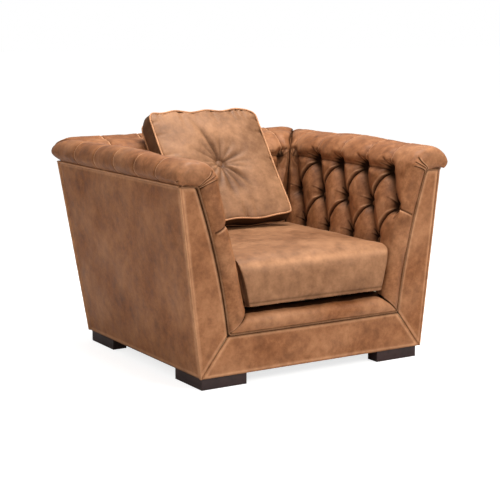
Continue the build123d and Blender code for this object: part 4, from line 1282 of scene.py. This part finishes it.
def wrinkle_pillow(item, axes):
    """Wrinkles round the scatter cushion's button and gathers at its edges, with painted shade in the
    wrinkles, low on its face and on its border.
    """
    (p, q, r), points, normals = subdivide(item)
    local = (points - PILLOW_CENTRE) @ axes.T
    radius = np.hypot(local[:, 0], local[:, 1])
    angle = np.arctan2(local[:, 1], local[:, 0])
    on_face = np.abs(r) > 0.97
    draw = np.random.default_rng(9)
    folds = np.zeros(len(points))
    sharp = np.zeros(len(points))
    # Each wrinkle leaves the button at an angle, in degrees, with its reach and strength.
    rays = [(103, 0.25, 1.0), (128, 0.15, 0.5), (150, 0.16, 0.6), (176, 0.14, 0.5), (200, 0.13, 0.6)]
    rays += [(16, 0.15, 0.9), (-4, 0.16, 0.5), (-20, 0.15, 0.6), (-46, 0.18, 1.2), (-68, 0.19, 0.9)]
    rays += [(-88, 0.21, 0.8), (-110, 0.17, 0.7), (-136, 0.15, 0.6), (46, 0.14, 0.5), (74, 0.14, 0.6)]
    for degrees_round, reach, strength in rays:
        bend = draw.uniform(-0.9, 0.9)
        turn = angle - radians(degrees_round) - bend * (radius - 0.05)
        turn = (turn + pi) % (2 * pi) - pi
        gap = radius * np.sin(turn) / (0.0045 + 0.075 * radius)
        fade = smooth((reach - radius) / (0.75 * reach)) * (np.cos(turn) > 0)
        folds += strength * bell(gap, 1) * fade
        sharp = np.maximum(sharp, strength * bell(gap, 0.45) * fade)
    rim = (1 - np.maximum(np.abs(p), np.abs(q))) * PILLOW_SIZE / 2
    gathers = np.zeros(len(points))
    for _ in range(34):
        at = draw.uniform(-0.23, 0.23)
        side = draw.integers(0, 4)
        along = local[:, 0] if side < 2 else local[:, 1]
        target = (local[:, 1] if side < 2 else local[:, 0]) * (1 if side % 2 else -1)
        near = smooth((target - 0.10) / 0.12)
        long = draw.uniform(0.018, 0.045)
        gathers += near * bell(along - at, 0.0065) * np.exp(-rim / long)
    ripple = 0.0018 * uneven(points, BROAD) + 0.0007 * uneven(points, FINE)
    move = np.where(on_face, -0.0105 * folds - 0.0042 * gathers, 0) + ripple * (rim > 0.004)
    move = np.where(r < -0.3, move * 0.4, move)
    move = np.clip(move, -0.012, 0.003)
    points = points + normals * move[:, None]
    set_points(item, points)
    # A random paler tone, with less of it in the wrinkles: painted shade.
    tone_and_fold_shade = np.clip(0.22 + 0.12 * uneven(points, BROAD) - 0.2 * folds, 0, 1)
    write_values(item, "wear", np.where(on_face, tone_and_fold_shade, 0.15))
    # Painted shade along the wrinkles, at the rim, towards the bottom of the face and on the border, most on
    # its underside.
    low = smooth((-local[:, 1] - 0.10) / 0.15)
    painted_face_shade = 0.55 * sharp + 0.3 * bell(rim, 0.004) + 0.10 * low + 0.06 * gathers * low
    painted_border_shade = 0.50 + 0.35 * (q < -0.9)
    write_values(item, "crease", np.clip(np.where(on_face, painted_face_shade, painted_border_shade), 0, 0.8))


def make_pillow():
    """The scatter cushion: boxed border with two pipings, buttoned through its middle."""
    axes = pillow_axes()
    item, rings = pillow_shape(axes)
    wrinkle_pillow(item, axes)
    declared(item, "scatter_cushion", ("pillow_cover", "pillow_filling"))
    parts = [tube_mesh(ring, PIPING_RADIUS, 10, closed=True, wobble=0.08) for ring in rings]
    joined("scatter_cushion_piping", parts, tan_welt, "scatter_cushion", ["pillow_piping"], wear=0.55)
    caps = []
    for sign, seat in ((1, 0.0260), (-1, 0.0235)):
        centre = PILLOW_CENTRE + axes[2] * sign * seat
        caps.append(covered_button(centre, axes[2] * sign, PILLOW_BUTTON_RADIUS, 40 + sign))
    joined("covered_scatter_buttons", caps, tan_pillow_shaded, "scatter_cushion", ["pillow_buttons"])


make_arms()
make_back()
make_front_band()
make_outsides()
make_welts()
make_seat_cushion()
make_pillow()


# ---------------------------------------------------------------- floor, light and camera
ROOM_LIGHT = 0.45
LIGHT_AIM = Vector((0, 0, 0.4))


def make_stage():
    """A plain pale floor, a little lighter to the camera than its lighting alone makes it."""
    half, low = 60.0, -0.0005
    floor_material, shader, place, make, link = start_material("pale_floor")
    tone = noise(make, link, place, 0.7, 2, 0.4)
    link(mixed(make, link, tone, (0.55, 0.55, 0.55), (0.58, 0.58, 0.58)), shader.inputs["Base Color"])
    shader.inputs["Roughness"].default_value = 0.8
    shader.inputs["Emission Color"].default_value = (1.0, 1.0, 1.0, 1)
    glow = make("ShaderNodeMath", operation="MULTIPLY")
    link(make("ShaderNodeLightPath").outputs["Is Camera Ray"], glow.inputs[0])
    glow.inputs[1].default_value = 0.76
    link(glow.outputs[0], shader.inputs["Emission Strength"])
    corners = [(-half, -half, low), (half, -half, low), (half, half, low), (-half, half, low)]
    floor = new_object("floor", corners, [[0, 1, 2, 3]], floor_material)


def area_light(name, place, size, power, colour):
    """A round soft light aimed at the middle of the chair."""
    light = bpy.data.lights.new(name, "AREA")
    light.shape = "DISK"
    light.size = size
    light.energy = power
    light.color = colour
    lamp = bpy.data.objects.new(name, light)
    lamp.location = place
    lamp.rotation_euler = (LIGHT_AIM - Vector(place)).to_track_quat("-Z", "Y").to_euler()
    bpy.context.scene.collection.objects.link(lamp)


def make_light():
    """Soft studio light: a key from the front and above, a top light, a left fill and a bright room."""
    world = bpy.data.worlds.new("studio")
    world.use_nodes = True
    tree, make, link = node_maker(world)
    room = tree.nodes["Background"]
    room.inputs["Color"].default_value = (1.0, 1.0, 1.0, 1)
    room.inputs["Strength"].default_value = ROOM_LIGHT
    backdrop = make("ShaderNodeBackground")
    backdrop.inputs["Color"].default_value = (1.0, 1.0, 1.0, 1)
    seen = make("ShaderNodeLightPath").outputs["Is Camera Ray"]
    either = make("ShaderNodeMixShader")
    link(seen, either.inputs[0])
    link(room.outputs[0], either.inputs[1])
    link(backdrop.outputs[0], either.inputs[2])
    link(either.outputs[0], tree.nodes["World Output"].inputs["Surface"])
    bpy.context.scene.world = world
    area_light("key", (1.3, -4.0, 2.6), 1.8, 125, (1.0, 0.98, 0.95))
    area_light("top", (0.3, -0.2, 3.6), 2.2, 150, (1.0, 0.99, 0.97))
    area_light("fill", (-3.6, -1.2, 2.1), 2.4, 30, (1.0, 0.93, 0.84))
    bpy.context.scene.view_settings.view_transform = "Standard"


def make_camera():
    """The photograph's viewpoint: from the front left, a little above the seat."""
    data = bpy.data.cameras.new("camera")
    data.lens, data.sensor_width = 94.6, 36
    camera = bpy.data.objects.new("camera", data)
    camera.location = (-2.6148, -4.2565, 1.2207)
    downwards, sideways = 9.578, -31.84
    camera.rotation_euler = Euler((radians(90 - downwards), 0, radians(sideways)))
    bpy.context.scene.collection.objects.link(camera)
    bpy.context.scene.camera = camera


make_stage()
make_light()
make_camera()
